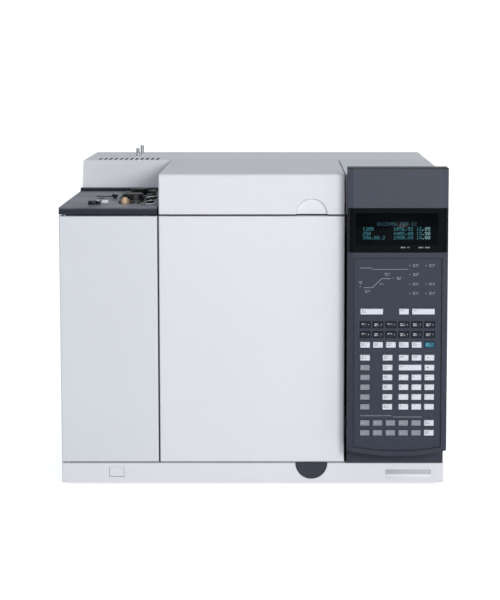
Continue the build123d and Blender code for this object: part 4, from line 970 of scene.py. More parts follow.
def sizes_in_metres(**sizes: float) -> dict[str, float]:
    """Gives a pattern's sizes under their input names.

    Args:
        sizes: Sizes in millimetres; an underscore in a name stands for a space.

    Returns:
        Input names and sizes in metres.
    """
    return {label.replace("_", " "): value * MM for label, value in sizes.items()}


def print_line(left: float, y: float, z: float, length: float, pitch: float = 1.0) -> list[Mark]:
    """Splits a line of small print into blocks, one for each letter, with gaps between its words.

    Args:
        left: Left end of the line.
        y: Where it lies.
        z: Its height.
        length: How long it is.
        pitch: Distance from letter to letter.

    Returns:
        The middle and the width of each block.
    """
    count = max(1, round(length / pitch))
    letters = [place for place in range(count) if place % 5 != 4 or place == count - 1]
    return [(left + (place + 0.5) * pitch, y, z, pitch * (0.6, 0.78, 0.5)[place % 3]) for place in letters]


def box_mm(node: str) -> tuple[Vector, Vector]:
    """Gives a CAD node's lowest and highest corner in millimetres."""
    low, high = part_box(node)
    return low / MM, high / MM


@dataclass(frozen=True)
class KeyFace:
    """The front face of one key, in millimetres."""

    left: float
    right: float
    foot: float
    top: float
    front: float


def key_faces(node: str, flat: float = 0.6) -> list[KeyFace]:
    """Finds the front face of each key in a node, row by row from the top and from the left.

    Args:
        node: Name of the CAD node.
        flat: How far behind its foremost corner a corner may lie and still belong to the face.

    Returns:
        The faces.
    """
    draft = welded(node)
    found: list[KeyFace] = []
    waiting = set(draft.verts)
    while waiting:
        stack = [waiting.pop()]
        group = []
        while stack:
            vert = stack.pop()
            group.append(vert.co / MM)
            near = {edge.other_vert(vert) for edge in vert.link_edges} & waiting
            waiting -= near
            stack.extend(near)
        front = min(place.y for place in group)
        xs = [place.x for place in group if place.y < front + flat]
        zs = [place.z for place in group if place.y < front + flat]
        found.append(KeyFace(min(xs), max(xs), min(zs), max(zs), front))
    draft.free()
    return sorted(found, key=lambda key: (-round(key.top), key.left))


# ---------------------------------------------------------------------------------------------
# Sub-assemblies
# ---------------------------------------------------------------------------------------------
@dataclass
class Casework:
    """Outer panels of the case, the screws that hold them and the vents of the gas-control cover."""

    screw_radius: float = 3.2
    screw_height: float = 1.6
    socket_share: float = 0.48
    screw_inset: float = 12.0
    rear_screw_x: Spot = (-60.0, 60.0)
    side_screw_front: float = 60.0
    vent_count: int = 12
    vent_first_x: float = -263.5
    vent_pitch: float = 8.8
    vent_width: float = 4.4
    vent_y: Spot = (61.5, 122.0)
    vent_reach: float = 4.0

    def dress(self) -> None:
        """Finishes the panels, tray, trim and feet."""
        SKIN_GREY.dress("door_skin_left")
        DOOR_WHITE.dress("door_skin_right")
        LID_WHITE.dress("detector_lid")
        COVER_GREY.dress("left_side_panel", "rear_panel")
        BAY_GREY.dress("electronics_cover")
        NOSE_GREY.dress("gas_control_cover")
        TRIM_WHITE.dress("base_front_trim", "power_button")
        TRAY_STEEL.dress("base_tray", "bulkhead")
        FOOT_RUBBER.dress("rubber_feet")
        PLATE_DARK.dress("inlet_plate")
        LATCH_DARK.dress("door_release")

    def build(self) -> None:
        """Adds the cover with its vents and the panel screws at the back and on both sides."""
        self._vents()
        low, high = box_mm("rear_panel")
        inset = self.screw_inset
        xs = (low.x + inset, *self.rear_screw_x, high.x - inset)
        rear = [(x, REAR_FACE, z) for x in xs for z in (low.z + inset, high.z - inset)]
        self._screws("rear_screws", rear, "Turn X", -math.pi / 2)
        self._side("left_screws", "left_side_panel", -1)
        self._side("right_screws", "electronics_cover", 1)

    def _side(self, name: str, panel: str, way: int) -> None:
        """Adds the screws along the foot of one side panel.

        Args:
            name: Name of the piece.
            panel: The CAD node that they hold.
            way: 1 on the right and -1 on the left.
        """
        low, high = box_mm(panel)
        ys = (low.y + self.side_screw_front, (low.y + high.y) / 2, high.y - self.screw_inset)
        spots = [(high.x if way > 0 else low.x, y, low.z + self.screw_inset) for y in ys]
        self._screws(name, spots, "Turn Y", way * math.pi / 2)

    def _screws(self, name: str, spots: list[Place], turn: str, angle: float) -> None:
        """Adds one group of screws.

        Args:
            name: Name of the piece.
            spots: Where their heads sit.
            turn: The input that turns them.
            angle: How far they are turned.
        """
        radius = self.screw_radius
        sizes = sizes_in_metres(
            Head_radius=radius, Head_height=self.screw_height, Socket_radius=radius * self.socket_share
        )
        SCREWS.grow(name, points_mesh(spots), sizes | {turn: angle}, ZINC, "zinc_steel")

    def _vents(self) -> None:
        """Copies the gas-control cover with its top vents cut to their full length."""
        draft = welded("gas_control_cover")
        cover = bpy.data.meshes.new("cover")
        draft.to_mesh(cover)
        draft.free()
        top = box_mm("gas_control_cover")[1].z
        half = self.vent_width / 2
        front, back = self.vent_y
        slots = MeshDraft()
        for index in range(self.vent_count):
            x = self.vent_first_x + index * self.vent_pitch
            slots.plate((x - half, front, top - self.vent_reach), (x + half, back, top + self.vent_reach))
        cutter = linked("vent_cutter", slots.data("vent_cutter"))
        holder = linked("cover", cover)
        cut = holder.modifiers.new("vents", "BOOLEAN")
        cut.operation = "DIFFERENCE"
        cut.solver = "EXACT"
        cut.object = cutter
        result = frozen(holder)
        bpy.data.batch_remove((cutter, cutter.data))
        piece = settle(result, "vented_cover", NOSE_GREY, smooth=3.0)
        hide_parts("gas_control_cover")


@dataclass
class FrontTrim:
    """Bare label plates on the moulded trim along the foot of the front."""

    label_x: Spot = (201.0, 270.0)
    label_z: Spot = (14.5, 28.0)
    label_gap: float = 0.4
    label_thickness: float = 0.15
    sunk: float = 0.1
    soft: float = 0.05

    def build(self) -> None:
        """Adds the two bare plates, one above the other."""
        front = box_mm("base_front_trim")[0].y
        left, right = self.label_x
        foot, top = self.label_z
        middle = (foot + top) / 2
        for name, finish, low, high in (
            ("label_plate_lower", LABEL_BARE, foot, middle - self.label_gap / 2),
            ("label_plate_upper", LABEL_GREY, middle + self.label_gap / 2, top),
        ):
            draft = MeshDraft()
            corner = (left, front - self.label_thickness, low)
            draft.plate(corner, (right, front + self.sunk, high), self.soft)
            draft.piece(name, finish, "trim_white")


@dataclass
class InletBay:
    """Small fittings that stand on the dark inlet plate, and the finishes of what it holds."""

    plate_top_z: float = 427.9
    deck_top_z: float = 417.4
    clip_low: Spot = (-251.4, -195.0)
    clip_size: Place = (11.0, 8.0, 5.6)
    clip_tongue: Place = (2.0, 0.8, 1.5)
    bush_place: Spot = (-236.6, -189.0)
    bush_rim: tuple[Spot, ...] = (
        (0, 0), (3.4, 0), (3.6, 0.4), (3.6, 4.4), (3.2, 4.9), (2.1, 4.9), (2.0, 3.6), (0, 3.6)
    )
    bush_core: tuple[Spot, ...] = ((0, 3.6), (1.8, 3.6), (1.8, 6.0), (1.2, 6.6), (0, 6.8))
    tag_low: Spot = (-233.0, -176.0)
    tag_size: Place = (10.0, 7.0, 4.4)
    knob_place: Spot = (-220.8, -94.7)
    knob_grip: tuple[Spot, ...] = (
        (0, 0), (2.4, 0), (2.4, 1.4), (4.3, 1.8), (4.6, 2.6), (4.4, 5.6), (3.6, 6.4), (0, 6.5)
    )
    # The white dot on the knob's top is a painted highlight, the glint of its glossy cap.
    highlight_shift: Spot = (1.6, -1.2)
    knob_highlight: tuple[Spot, ...] = ((0, 6.4), (1.5, 6.4), (1.3, 7.2), (0, 7.4))
    nut_place: Spot = (-196.6, -177.5)
    nut_profile: tuple[Spot, ...] = (
        (0, 0), (3.96, 0), (3.96, 10.5), (6.1, 10.5), (6.6, 11.0), (6.6, 16.0), (6.0, 16.5), (4.092, 16.5),
        (3.696, 19.5), (0, 19.5)
    )
    block_soft: float = 0.8
    blocks: tuple[tuple[float, float, float, float, float], ...] = (
        (-204.5, -112.0, 6.0, 16.0, 15.0),
        (-196.0, -110.0, 9.0, 12.0, 19.0),
        (-176.0, -112.0, 8.0, 12.0, 17.0),
        (-165.0, -108.0, 9.0, 14.0, 18.0),
        (-203.0, -150.0, 5.0, 9.0, 14.5),
        (-204.0, -60.0, 6.0, 30.0, 17.0),
        (-162.0, -64.0, 8.0, 26.0, 20.0),
    )
    highlight_sides: int = 16
    nut_sides: int = 6
    wire_rise: float = 0.5
    wire_sag: float = 1.5
    wire_sizes: Spot = (0.7, 4.0)
    tube_sizes: Spot = (0.9, 4.0)
    hose_sizes: Spot = (1.8, 6.0)
    wires: tuple[Place, ...] = ((-253.0, -226.0, -70.0), (-246.0, -237.0, -101.0))
    tubes: tuple[tuple[Place, ...], ...] = (
        (
            (-149, -100, 430), (-147, -150, 433), (-149, -190, 434), (-158, -196, 434), (-167, -190, 431),
            (-171, -184, 421),
        ),
        (
            (-146, -110, 429.2), (-145.5, -172, 429.2), (-149, -200, 429.2), (-164, -202, 429.2),
            (-172, -192, 429.2),
        ),
        (
            (-151, -120, 433), (-148, -158, 438), (-151, -184, 439), (-163, -187, 438), (-169, -180, 428),
            (-169, -178, 419),
        ),
    )
    hoses: tuple[tuple[Place, ...], ...] = (
        ((-206, -60, 426), (-207, -100, 432), (-206, -140, 434), (-205, -165, 430), (-204, -174, 421)),
        ((-190, -178, 420), (-187, -181, 429), (-181, -184, 432), (-174, -182, 431), (-171, -177, 420)),
        ((-204, -80, 424), (-205, -120, 437), (-203, -150, 437), (-203, -168, 428), (-203, -172, 419)),
    )

    def dress(self) -> None:
        """Finishes the inlets, detectors, lines and fittings."""
        BRIGHT.dress("inlet_bodies", "front_detector", "back_detector", "gas_lines", "vent_tubes")
        BRASS.dress("gas_fittings")
        CAP_BLACK.dress("front_inlet_cap", "back_inlet_cap")
        MODULE_GREY.dress("gas_modules")

    def build(self) -> None:
        """Adds everything that stands on the plate or reaches out of its opening."""
        deck = self.plate_top_z
        x, y = self.knob_place
        highlight_foot = (x + self.highlight_shift[0], y + self.highlight_shift[1], deck)
        self._clip()
        self._turned("plate_bush", (*self.bush_place, deck), self.bush_rim, CAP_BLACK, "cap_black")
        self._turned("plate_bush_core", (*self.bush_place, deck), self.bush_core, KEY_WHITE, "key_white")
        self._tag()
        self._turned("plate_knob", (x, y, deck), self.knob_grip, CAP_BLACK, "cap_black")
        # Painted highlight on the knob.
        self._turned("plate_knob_highlight", highlight_foot, self.knob_highlight, LABEL_BARE, "key_white", self.highlight_sides)
        self._wires()
        self._nut()
        self._blocks()
        tubes, hoses = (BRIGHT, BRIGHT, BRIGHT), (CAP_BLACK, CLUTTER_GREEN, CLUTTER_GREEN)
        self._lines("plate_tube", self.tubes, self.tube_sizes, tubes, "bright_steel")
        self._lines("plate_hose", self.hoses, self.hose_sizes, hoses, "cap_black")

    def _turned(
        self, name: str, place: Place, profile: tuple[Spot, ...], finish: Finish, slot: str, sides: int = 24
    ) -> None:
        """Adds one round part that stands on the plate.

        Args:
            name: Name of the piece.
            place: Middle of its foot.
            profile: Its radii and heights.
            finish: What it is made of.
            slot: The material slot that it belongs to.
            sides: How many sides it has.
        """
        part = MeshDraft()
        part.lathe(place, Axis.Z, profile, sides)
        part.piece(name, finish, slot)

    def _clip(self) -> None:
        """Adds the clip with its tongue."""
        x, y = self.clip_low
        wide, deep, tall = self.clip_size
        side, out, foot = self.clip_tongue
        deck = self.plate_top_z
        clip = MeshDraft()
        clip.plate((x, y, deck), (x + wide, y + deep, deck + tall), 0.8)
        clip.plate((x + side, y - out, deck + foot), (x + wide - side, y + 1, deck + tall - foot), 0.3)
        clip.piece("plate_clip", CAP_BLACK, "cap_black")

    def _tag(self) -> None:
        """Adds the small pale block beside the opening."""
        x, y = self.tag_low
        wide, deep, tall = self.tag_size
        tag = MeshDraft()
        tag.plate((x, y, self.plate_top_z), (x + wide, y + deep, self.plate_top_z + tall), 1.0)
        tag.piece("plate_tag", LABEL_BARE, "trim_white")

    def _wires(self) -> None:
        """Adds the thin dark wires that lie on the plate."""
        z = self.plate_top_z + self.wire_rise
        paths = tuple(
            ((left, y, z), ((left + right) / 2, y - self.wire_sag, z), (right, y, z))
            for left, right, y in self.wires
        )
        self._lines("plate_wire", paths, self.wire_sizes, (SOCKET_BLACK, SOCKET_BLACK), "cap_black")

    def _nut(self) -> None:
        """Adds the six-sided nut with its flange, which stands in the opening."""
        nut = MeshDraft()
        nut.lathe((*self.nut_place, self.deck_top_z), Axis.Z, self.nut_profile, self.nut_sides)
        nut.piece("copper_nut", COPPER, "brass_fittings", smooth=20.0)

    def _blocks(self) -> None:
        """Adds the dark blocks that stand in the opening."""
        blocks = MeshDraft()
        foot = self.deck_top_z
        for x, y, wide, deep, tall in self.blocks:
            low = (x - wide / 2, y - deep / 2, foot)
            blocks.plate(low, (x + wide / 2, y + deep / 2, foot + tall), self.block_soft)
        blocks.piece("plate_blocks", CLUTTER_GREEN, "module_grey")

    def _lines(
        self,
        name: str,
        paths: tuple[tuple[Place, ...], ...],
        sizes: Spot,
        finishes: tuple[Finish, ...],
        slot: str,
    ) -> None:
        """Adds one group of wires, tubes or hoses, each as a piece of its own.

        Args:
            name: Start of the names of the pieces.
            paths: The points that each one goes through.
            sizes: Radius of the line, and radius of its bends.
            finishes: What each one is made of.
            slot: The material slot that they belong to.
        """
        values = sizes_in_metres(Wire=sizes[0], Bend=sizes[1])
        for index, (path, finish) in enumerate(zip(paths, finishes)):
            TUBES.grow(f"{name}_{index + 1}", path_mesh(path), values, finish, slot)


@dataclass
class RearCover:
    """Shallow caps on top of the rear covers, whose white is a painted highlight."""

    cap_x: tuple[float, ...] = (-132.7, 5.4, 232.7)
    cap_y: float = 210.0
    cap_radius: float = 7.0
    cap_rise: float = 1.4
    cap_sunk: float = 0.3

    def build(self) -> None:
        """Adds the caps, white as a painted highlight on their domes."""
        draft = MeshDraft()
        radius, rise = self.cap_radius, self.cap_rise
        top = box_mm("gas_control_cover")[1].z
        dome = [(radius * math.cos(a), rise * math.sin(a)) for a in [math.radians(15 * k) for k in range(6)]]
        profile = ((0, -self.cap_sunk), (radius, -self.cap_sunk), *dome, (0, rise))
        for x in self.cap_x:
            draft.lathe((x, self.cap_y, top), Axis.Z, profile, 32)
        draft.piece("cover_caps", KEY_WHITE, "cover_grey")


GLYPHS = {
    "0": (14, 17, 19, 21, 25, 17, 14),
    "1": (4, 12, 4, 4, 4, 4, 14),
    "2": (14, 17, 1, 2, 4, 8, 31),
    "3": (31, 2, 4, 2, 1, 17, 14),
    "4": (2, 6, 10, 18, 31, 2, 2),
    "5": (31, 16, 30, 1, 1, 17, 14),
    "6": (6, 8, 16, 30, 17, 17, 14),
    "7": (31, 1, 2, 4, 8, 8, 8),
    "8": (14, 17, 17, 14, 17, 17, 14),
    "9": (14, 17, 17, 15, 1, 2, 12),
    ".": (0, 0, 0, 0, 0, 12, 12),
    " ": (0, 0, 0, 0, 0, 0, 0),
}


@dataclass
class ControlFascia:
    """Display, status prints, lamps and keypad marks on the control fascia."""

    screen_x: Spot = (152.5, 275.0)
    screen_z: Spot = (375.4, 422.6)
    screen_rise: float = 0.06
    screen_sunk: float = 0.1
    figures: tuple[tuple[float, float, str], ...] = (
        (404.6, 185.0, "0123456 789 12"),
        (397.2, 163.5, "1205"),
        (397.2, 209.3, "1036.52"),
        (397.2, 243.0, "12.05"),
        (390.4, 163.5, "250"),
        (390.4, 209.3, "4405.00"),
        (390.4, 243.0, "15.50"),
        (384.2, 163.5, "300.00.2"),
        (384.2, 209.3, "2980.60"),
        (384.2, 243.0, "10.00"),
    )
    dot_pitch: float = 0.7
    dot_size: float = 0.45
    dot_rise: float = 0.1
    bright_from_x: float = 240.0
    title_from_z: float = 400.0
    window_labels: tuple[Spot, ...] = ((219.4, 13.0), (245.6, 17.0))
    window_label_z: float = 371.6
    window_label_pitch: float = 1.9
    mark_depth: float = 0.05
    mark_sunk: float = 0.02
    rule_height: float = 0.6
    rules: tuple[Place, ...] = ((177.4, 231.0, 338.5), (209.7, 252.9, 115.7))
    ramp_half: float = 0.35
    ramp: tuple[Spot, ...] = ((165.0, 311.4), (178.0, 311.4), (191.7, 324.9), (205.2, 324.9))
    ramp_lamps: tuple[Spot, ...] = ((160.0, 312.9), (209.2, 325.6))
    lamps: tuple[Spot, ...] = (
        (233.2, 344.3), (257.2, 344.3), (233.5, 330.9), (233.5, 316.6), (257.8, 316.6), (233.5, 302.7),
        (257.8, 302.7),
    )
    lamp_dome: tuple[Spot, ...] = ((0, -0.9), (0.6, -0.75), (1.05, -0.4), (1.2, 0.0), (1.2, 0.3), (0, 0.3))
    lamp_prints: tuple[Place, ...] = ((9.0, 1.3, 9.0), (8.2, -1.1, 7.2))
    status_prints: tuple[Place, ...] = (
        (168.0, 340.9, 17.0), (200.1, 332.7, 8.0), (200.1, 330.2, 6.5), (191.9, 316.9, 6.8),
        (160.8, 320.2, 5.4), (160.8, 318.0, 4.4), (170.6, 306.7, 8.0), (170.6, 304.5, 6.4),
        (217.2, 326.5, 6.6), (217.2, 324.1, 5.0), (184.6, 118.0, 46.0),
    )
    rim_width: float = 1.4
    rim_foot: float = 9.0
    letter_height: float = 2.6
    letter_place: Spot = (1.5, 4.2)
    arrow_half: float = 1.6
    arrow_shift: float = 2.5
    legend_lengths: Place = (6.2, 4.6, 7.4)
    legend_place: Spot = (1.6, 2.6)
    legend_pitch: float = 2.3
    key_dot: Place = (1.9, 3.6, 0.6)

    def dress(self) -> None:
        """Finishes the fascia, window, faceplate, keys and boards."""
        FASCIA_DARK.dress("control_fascia")
        FACEPLATE_DARK.dress("keypad_faceplate")
        WINDOW_BLACK.dress("display_window")
        KEY_DARK.dress("method_keys")
        KEY_GREY.dress("program_keys")
        KEY_TEAL.dress("shift_key")
        KEY_WHITE.dress("prep_run_key", "stop_key", "start_key", "enter_key")
        KEY_WHITE.dress("function_keys", "edit_keys", "on_off_keys", "arrow_keys")
        KEY_WHITE.dress("number_keys", "record_keys")
        BOARD_GREEN.dress("control_board", "logic_board")

    def build(self) -> None:
        """Adds the display and every printed mark."""
        self._display()
        self._status_lines()
        self._status_prints()
        self._shade_rim()
        self._lamps()
        self._letters()
        self._legends()

    def _marks(
        self,
        name: str,
        points: list[Place | Mark],
        height: float,
        finish: Finish,
        slot: str,
        body: str = "chassis",
    ) -> None:
        """Adds printed blocks or dots.

        Args:
            name: Name of the piece.
            points: Their places, with a width for each block.
            height: How tall they are.
            finish: What they are printed with.
            slot: The material slot that they belong to.
            body: The CAD body that they move with.
        """
        wide = 1.0 if len(points[0]) > 3 else height
        sizes = sizes_in_metres(Width=wide, Height=height, Depth=self.mark_depth)
        MARKS.grow(name, points_mesh(points), sizes, finish, slot, body)

    def _display(self) -> None:
        """Adds the dark screen area, its rows of dotted figures and the labels below it."""
        glass = box_mm("display_window")[0].y
        left, right = self.screen_x
        foot, top = self.screen_z
        screen = MeshDraft()
        screen.plate((left, glass - self.screen_rise, foot), (right, glass + self.screen_sunk, top), 0.03)
        screen.piece("display_screen", SCREEN_BLACK, "window_black")
        dots: dict[str, list[Place]] = {"title": [], "plain": [], "bright": []}
        for z, x, text in self.figures:
            for place, letter in enumerate(text):
                level = "bright" if x > self.bright_from_x and place > 1 else "plain"
                level = "title" if z > self.title_from_z else level
                for row, bits in enumerate(GLYPHS[letter]):
                    for column in range(5):
                        if bits >> (4 - column) & 1:
                            across = x + (place * 6 + column) * self.dot_pitch
                            up = z + (6 - row) * self.dot_pitch
                            dots[level].append((across, glass - self.dot_rise, up))
        for level, finish in (("title", DIGIT_DIM), ("plain", DIGIT_GLOW), ("bright", DIGIT_BRIGHT)):
            self._marks(f"display_{level}_digits", dots[level], self.dot_size, finish, "window_black")
        labels = []
        for left, length in self.window_labels:
            labels += print_line(left, glass - 0.03, self.window_label_z, length, self.window_label_pitch)
        self._marks("display_labels", labels, 1.8, INK_SOFT, "window_black")

    def _status_lines(self) -> None:
        """Adds the rules and the ramp of the status print."""
        front = box_mm("keypad_faceplate")[0].y
        lines = MeshDraft()
        for left, right, foot in self.rules:
            low = (left, front - self.mark_depth, foot)
            lines.plate(low, (right, front + self.mark_sunk, foot + self.rule_height))
        for (x0, z0), (x1, z1) in zip(self.ramp, self.ramp[1:]):
            along = Vector((x1 - x0, z1 - z0)).normalized() * self.ramp_half
            start = [(x0 - along.y, z0 + along.x), (x0 + along.y, z0 - along.x)]
            end = [(x1 + along.y, z1 - along.x), (x1 - along.y, z1 + along.x)]
            lines.prism(start + end, front - self.mark_depth, self.mark_depth + self.mark_sunk)
        lines.piece("status_lines", INK_SOFT, "faceplate_dark")

    def _status_prints(self) -> None:
        """Adds the small labels above the keys and beside the lamps."""
        y = box_mm("keypad_faceplate")[0].y - 0.02
        prints = list(self.status_prints)
        for right, up, length in self.lamp_prints:
            prints += [(x + right, z + up, length) for x, z in self.lamps]
        letters = []
        for middle, z, length in prints:
            letters += print_line(middle - length / 2, y, z, length)
        self._marks("status_labels", letters, 1.3, INK_SOFT, "faceplate_dark")

    def _shade_rim(self) -> None:
        """Adds the dark line round the top and sides of the faceplate, a painted shade at the edge of its
        recess.
        """
        low, high = box_mm("keypad_faceplate")
        y, back = low.y - self.mark_depth, low.y + self.mark_sunk
        rim = MeshDraft()
        rim.plate((low.x, y, high.z - self.rim_width), (high.x, back, high.z))
        for x in (low.x, high.x - self.rim_width):
            rim.plate((x, y, low.z + self.rim_foot), (x + self.rim_width, back, high.z - self.rim_width))
        rim.piece("faceplate_shade_rim", RIM_PAINTED_SHADE, "faceplate_dark")

    def _lamps(self) -> None:
        """Adds the small clear lamps."""
        front = box_mm("keypad_faceplate")[0].y
        bulbs = MeshDraft()
        for x, z in (*self.lamps, *self.ramp_lamps):
            bulbs.lathe((x, front, z), Axis.Y, self.lamp_dome, 20)
        bulbs.piece("status_lamps", LAMP_CLEAR, "faceplate_dark")

    def _letters(self) -> None:
        """Adds figures, ON and OFF, and arrows to the keys."""
        right, down = self.letter_place
        for node, words in (("number_keys", "7894561230.-"), ("on_off_keys", ("ON", "OFF"))):
            draft = MeshDraft()
            for text, key in zip(words, key_faces(node)):
                x, z = key.left + right, key.top - down
                draft.words(text, x, z, key.front - 0.04, self.letter_height, 0.05)
            draft.piece(f"{node}_marks", INK_DARK, "key_white", node.replace("_keys", "_group"))
        arrows = MeshDraft()
        half = self.arrow_half
        for way, key in zip((half, -half), key_faces("arrow_keys")):
            x = (key.left + key.right) / 2 - self.arrow_shift
            z = (key.foot + key.top) / 2
            corners = [(x - half, z - way / 2), (x + half, z - way / 2), (x, z + way)]
            arrows.prism(corners, key.front - 0.03, 0.05)
        arrows.piece("arrow_marks", INK_DARK, "key_white", "arrow_group")

    def _legends(self) -> None:
        """Adds lines of plain blocks to the other keys."""
        right, down = self.legend_place
        for node, ink, lines, slot in (
            ("method_keys", INK_WHITE, 2, "key_dark"),
            ("shift_key", INK_TEAL, 2, "key_teal"),
            ("program_keys", INK_SOFT, 2, "key_grey"),
            ("function_keys", INK_FAINT, 2, "key_white"),
            ("edit_keys", INK_FAINT, 2, "key_white"),
            ("record_keys", INK_FAINT, 2, "key_white"),
            ("enter_key", INK_FAINT, 1, "key_white"),
            ("prep_run_key", INK_FAINT, 2, "key_white"),
            ("stop_key", INK_FAINT, 1, "key_white"),
            ("start_key", INK_FAINT, 1, "key_white"),
        ):
            spots = []
            for index, key in enumerate(key_faces(node)):
                y = key.front - 0.02
                for line in range(1 if node == "method_keys" and index % 6 in (0, 2) else lines):
                    length = self.legend_lengths[(index + 2 * line) % 3]
                    z = key.top - down - self.legend_pitch * line
                    spots += print_line(key.left + right, y, z, length)
                if node == "method_keys":
                    inset, drop, wide = self.key_dot
                    spots.append((key.right - inset, y, key.top - drop, wide))
            body = node.replace("_keys", "_group").replace("_key", "_button")
            self._marks(f"{node}_marks", spots, 1.5, ink, slot, body)


@dataclass
class Oven:
    """Inside of the oven: finishes, and the wound column."""

    column_wire: float = 0.5
    layers: int = 5
    layer_pitch: float = 1.8

    def dress(self) -> None:
        """Finishes the liner, fan, heater, insulation and door."""
        OVEN_STEEL.dress("oven_liner", "fan_shroud", "oven_fan", "oven_ducts", "column_cage")
        FRAME_BLACK.dress("oven_front_frame", "door_pan")
        WOOL.dress("oven_insulation", "door_insulation")
        GASKET.dress("door_gasket")
        ZINC.dress("top_deck", "lid_hinge_rod", "door_hinge_pins", "exhaust_flap", "fan_motor")
        HEATER.dress("heater_coil")
        AMBER.dress("column_coil")

    def build(self) -> None:
        """Adds the windings of the column, which stand for the plain coil."""
        low, high = box_mm("column_coil")
        middle = (low + high) / 2
        outer = (high.x - low.x) / 2
        wire = self.column_wire
        turns = int((high.y - low.y - 2 * wire) / (2 * wire)) + 1
        spots = []
        for layer in range(self.layers):
            radius = outer - wire - layer * self.layer_pitch * wire
            for turn in range(turns - layer % 2):
                y = low.y + wire + (turn + 0.5 * (layer % 2)) * 2 * wire
                spots.append((middle.x, y, middle.z, radius / outer))
        sizes = sizes_in_metres(Radius=outer, Wire=wire)
        coil = RINGS.grow("column_windings", points_mesh(spots), sizes, AMBER, "column_amber")
        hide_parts("column_coil")


@dataclass
class RearFittings:
    """Finishes at the back, and the guard of the electronics fan."""

    guard_x: float = 214.5
    guard_z: float = 330.0
    guard_radius: float = 38.0
    guard_wire: float = 0.9
    ring_shares: tuple[float, ...] = (0.25, 0.45, 0.65, 0.85, 1.04)
    ring_rise: float = 3.2
    spoke_count: int = 4
    spoke_rise: float = 2.0
    spoke_shares: Spot = (0.2, 1.12)
    spoke_foot: Spot = (3.0, 0.2)
    spoke_bend: float = 1.0

    def dress(self) -> None:
        """Finishes the connectors and the power supply."""
        CAP_BLACK.dress("rear_connectors")
        SUPPLY_CASE.dress("power_supply")

    def build(self) -> None:
        """Adds the wire rings and the spokes of the fan guard."""
        x, z = self.guard_x, self.guard_z
        rings = [(x, REAR_FACE + self.ring_rise, z, share) for share in self.ring_shares]
        sizes = sizes_in_metres(Radius=self.guard_radius, Wire=self.guard_wire)
        RINGS.grow("fan_guard_rings", points_mesh(rings), sizes, BRIGHT, "bright_steel")
        inner, outer = (self.guard_radius * share for share in self.spoke_shares)
        back, sunk = self.spoke_foot
        bends = ((inner, self.spoke_rise), (outer - back, self.spoke_rise), (outer, -sunk))
        sizes = sizes_in_metres(Wire=self.guard_wire, Bend=self.spoke_bend)
        for index in range(self.spoke_count):
            angle = math.radians(45) + 2 * math.pi * index / self.spoke_count
            path = tuple(
                (x + reach * math.cos(angle), REAR_FACE + rise, z + reach * math.sin(angle))
                for reach, rise in bends
            )
            TUBES.grow(f"fan_guard_spoke_{index + 1}", path_mesh(path), sizes, BRIGHT, "bright_steel")


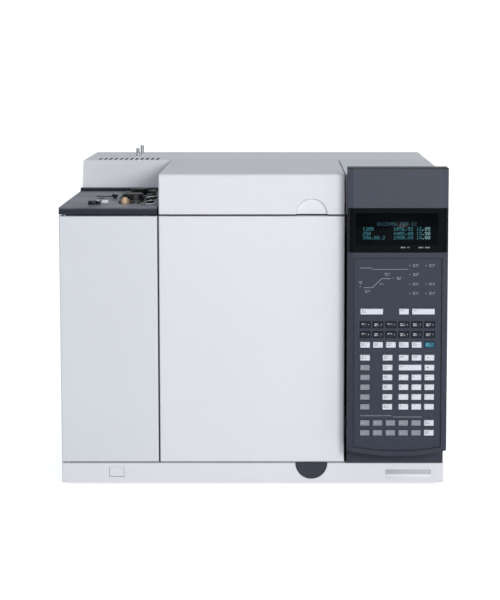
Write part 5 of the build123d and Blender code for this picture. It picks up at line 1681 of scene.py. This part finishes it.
@dataclass
class Studio:
    """Pale floor, soft lights and the camera."""

    camera_place: Place = (0.0443, -2.607, 0.6765)
    camera_pitch: float = 84.5
    lens: float = 95.56
    shift: Spot = (-0.0537, -0.177)
    lamps: tuple[tuple[str, Place, float, float], ...] = (
        ("key", (1.25, -3.05, 1.3), 0.8, 45.0),
        ("fill", (0.5, -3.4, 1.4), 2.0, 10.0),
        ("top", (0.0, 0.7, 3.2), 1.6, 10.5),
    )
    world_colour: Colour = (240, 247, 255)
    world_strength: float = 0.31
    floor_reach: float = 8.0
    floor_back: float = 3.0
    floor_bend: float = 1.5
    floor_rise: float = 6.0
    floor_tone: float = 0.92
    floor_bounce: float = 0.12
    floor_seen: float = 0.68

    def build(self) -> None:
        """Makes the world, the lights, the floor and the camera."""
        scene = bpy.context.scene
        scene.view_settings.view_transform = "Standard"
        world = bpy.data.worlds.new("studio")
        scene.world = world
        world.use_nodes = True
        back = world.node_tree.nodes["Background"]
        back.inputs[0].default_value = shade(*self.world_colour)
        back.inputs[1].default_value = self.world_strength
        for name, place, size, power in self.lamps:
            self._lamp(name, Vector(place), size, power)
        self._floor()
        data = bpy.data.cameras.new("camera")
        data.lens = self.lens
        data.shift_x, data.shift_y = self.shift
        camera = linked("camera", data)
        camera.location = self.camera_place
        camera.rotation_euler = (math.radians(self.camera_pitch), 0.0, 0.0)
        scene.camera = camera

    def _lamp(self, name: str, place: Vector, size: float, power: float) -> None:
        """Adds one square soft light that points at the middle of the object.

        Args:
            name: Name of the light.
            place: Where it hangs.
            size: Its side.
            power: Its power.
        """
        data = bpy.data.lights.new(name, "AREA")
        data.shape = "SQUARE"
        data.size = size
        data.energy = power
        lamp = linked(name, data)
        lamp.location = place
        lamp.rotation_euler = ((CAD_LOW + CAD_HIGH) / 2 - place).to_track_quat("-Z", "Y").to_euler()

    def _floor(self) -> None:
        """Makes the floor, which sweeps up into a backdrop."""
        draft = bmesh.new()
        reach, bend, back = self.floor_reach, self.floor_bend, self.floor_back
        turns = [math.radians(9 * k) for k in range(1, 11)]
        sweep = [(back + bend * math.sin(a), bend * (1 - math.cos(a))) for a in turns]
        profile = [(-reach, 0.0), (back, 0.0), *sweep, (back + bend, self.floor_rise)]
        rows = [[draft.verts.new((x, y, z)) for x in (-reach, reach)] for y, z in profile]
        for one, two in zip(rows, rows[1:]):
            draft.faces.new([one[0], one[1], two[1], two[0]])
        data = bpy.data.meshes.new("studio_floor")
        draft.to_mesh(data)
        draft.free()
        data.shade_smooth()
        data.materials.append(self._paper())
        linked("studio_floor", data)

    def _paper(self) -> bpy.types.Material:
        """Makes the floor's pale paper, which looks brighter to the camera than to the object.

        Returns:
            The material.
        """
        paper = bpy.data.materials.new("studio_paper")
        paper.use_nodes = True
        surface = paper.node_tree.nodes["Principled BSDF"]
        surface.inputs["Base Color"].default_value = (*[self.floor_tone] * 3, 1.0)
        surface.inputs["Roughness"].default_value = 0.9
        surface.inputs["Emission Color"].default_value = (1.0, 1.0, 1.0, 1.0)
        tree = NodeMaker(paper.node_tree)
        seen = tree.add("ShaderNodeLightPath").outputs["Is Camera Ray"]
        strength = tree.add("ShaderNodeMapRange", {0: seen, 3: self.floor_bounce, 4: self.floor_seen})
        paper.node_tree.links.new(strength.outputs[0], surface.inputs["Emission Strength"])
        return paper


def main() -> None:
    """Builds and dresses every sub-assembly in order, then the studio."""
    logging.basicConfig(level=logging.INFO, format="%(message)s")
    front = (Casework(), FrontTrim(), InletBay(), RearCover(), ControlFascia())
    for assembly in (*front, Oven(), RearFittings()):
        log.info("building %s", type(assembly).__name__)
        if hasattr(assembly, "dress"):
            assembly.dress()
        assembly.build()
    Studio().build()


if __name__ == "__main__":
    main()
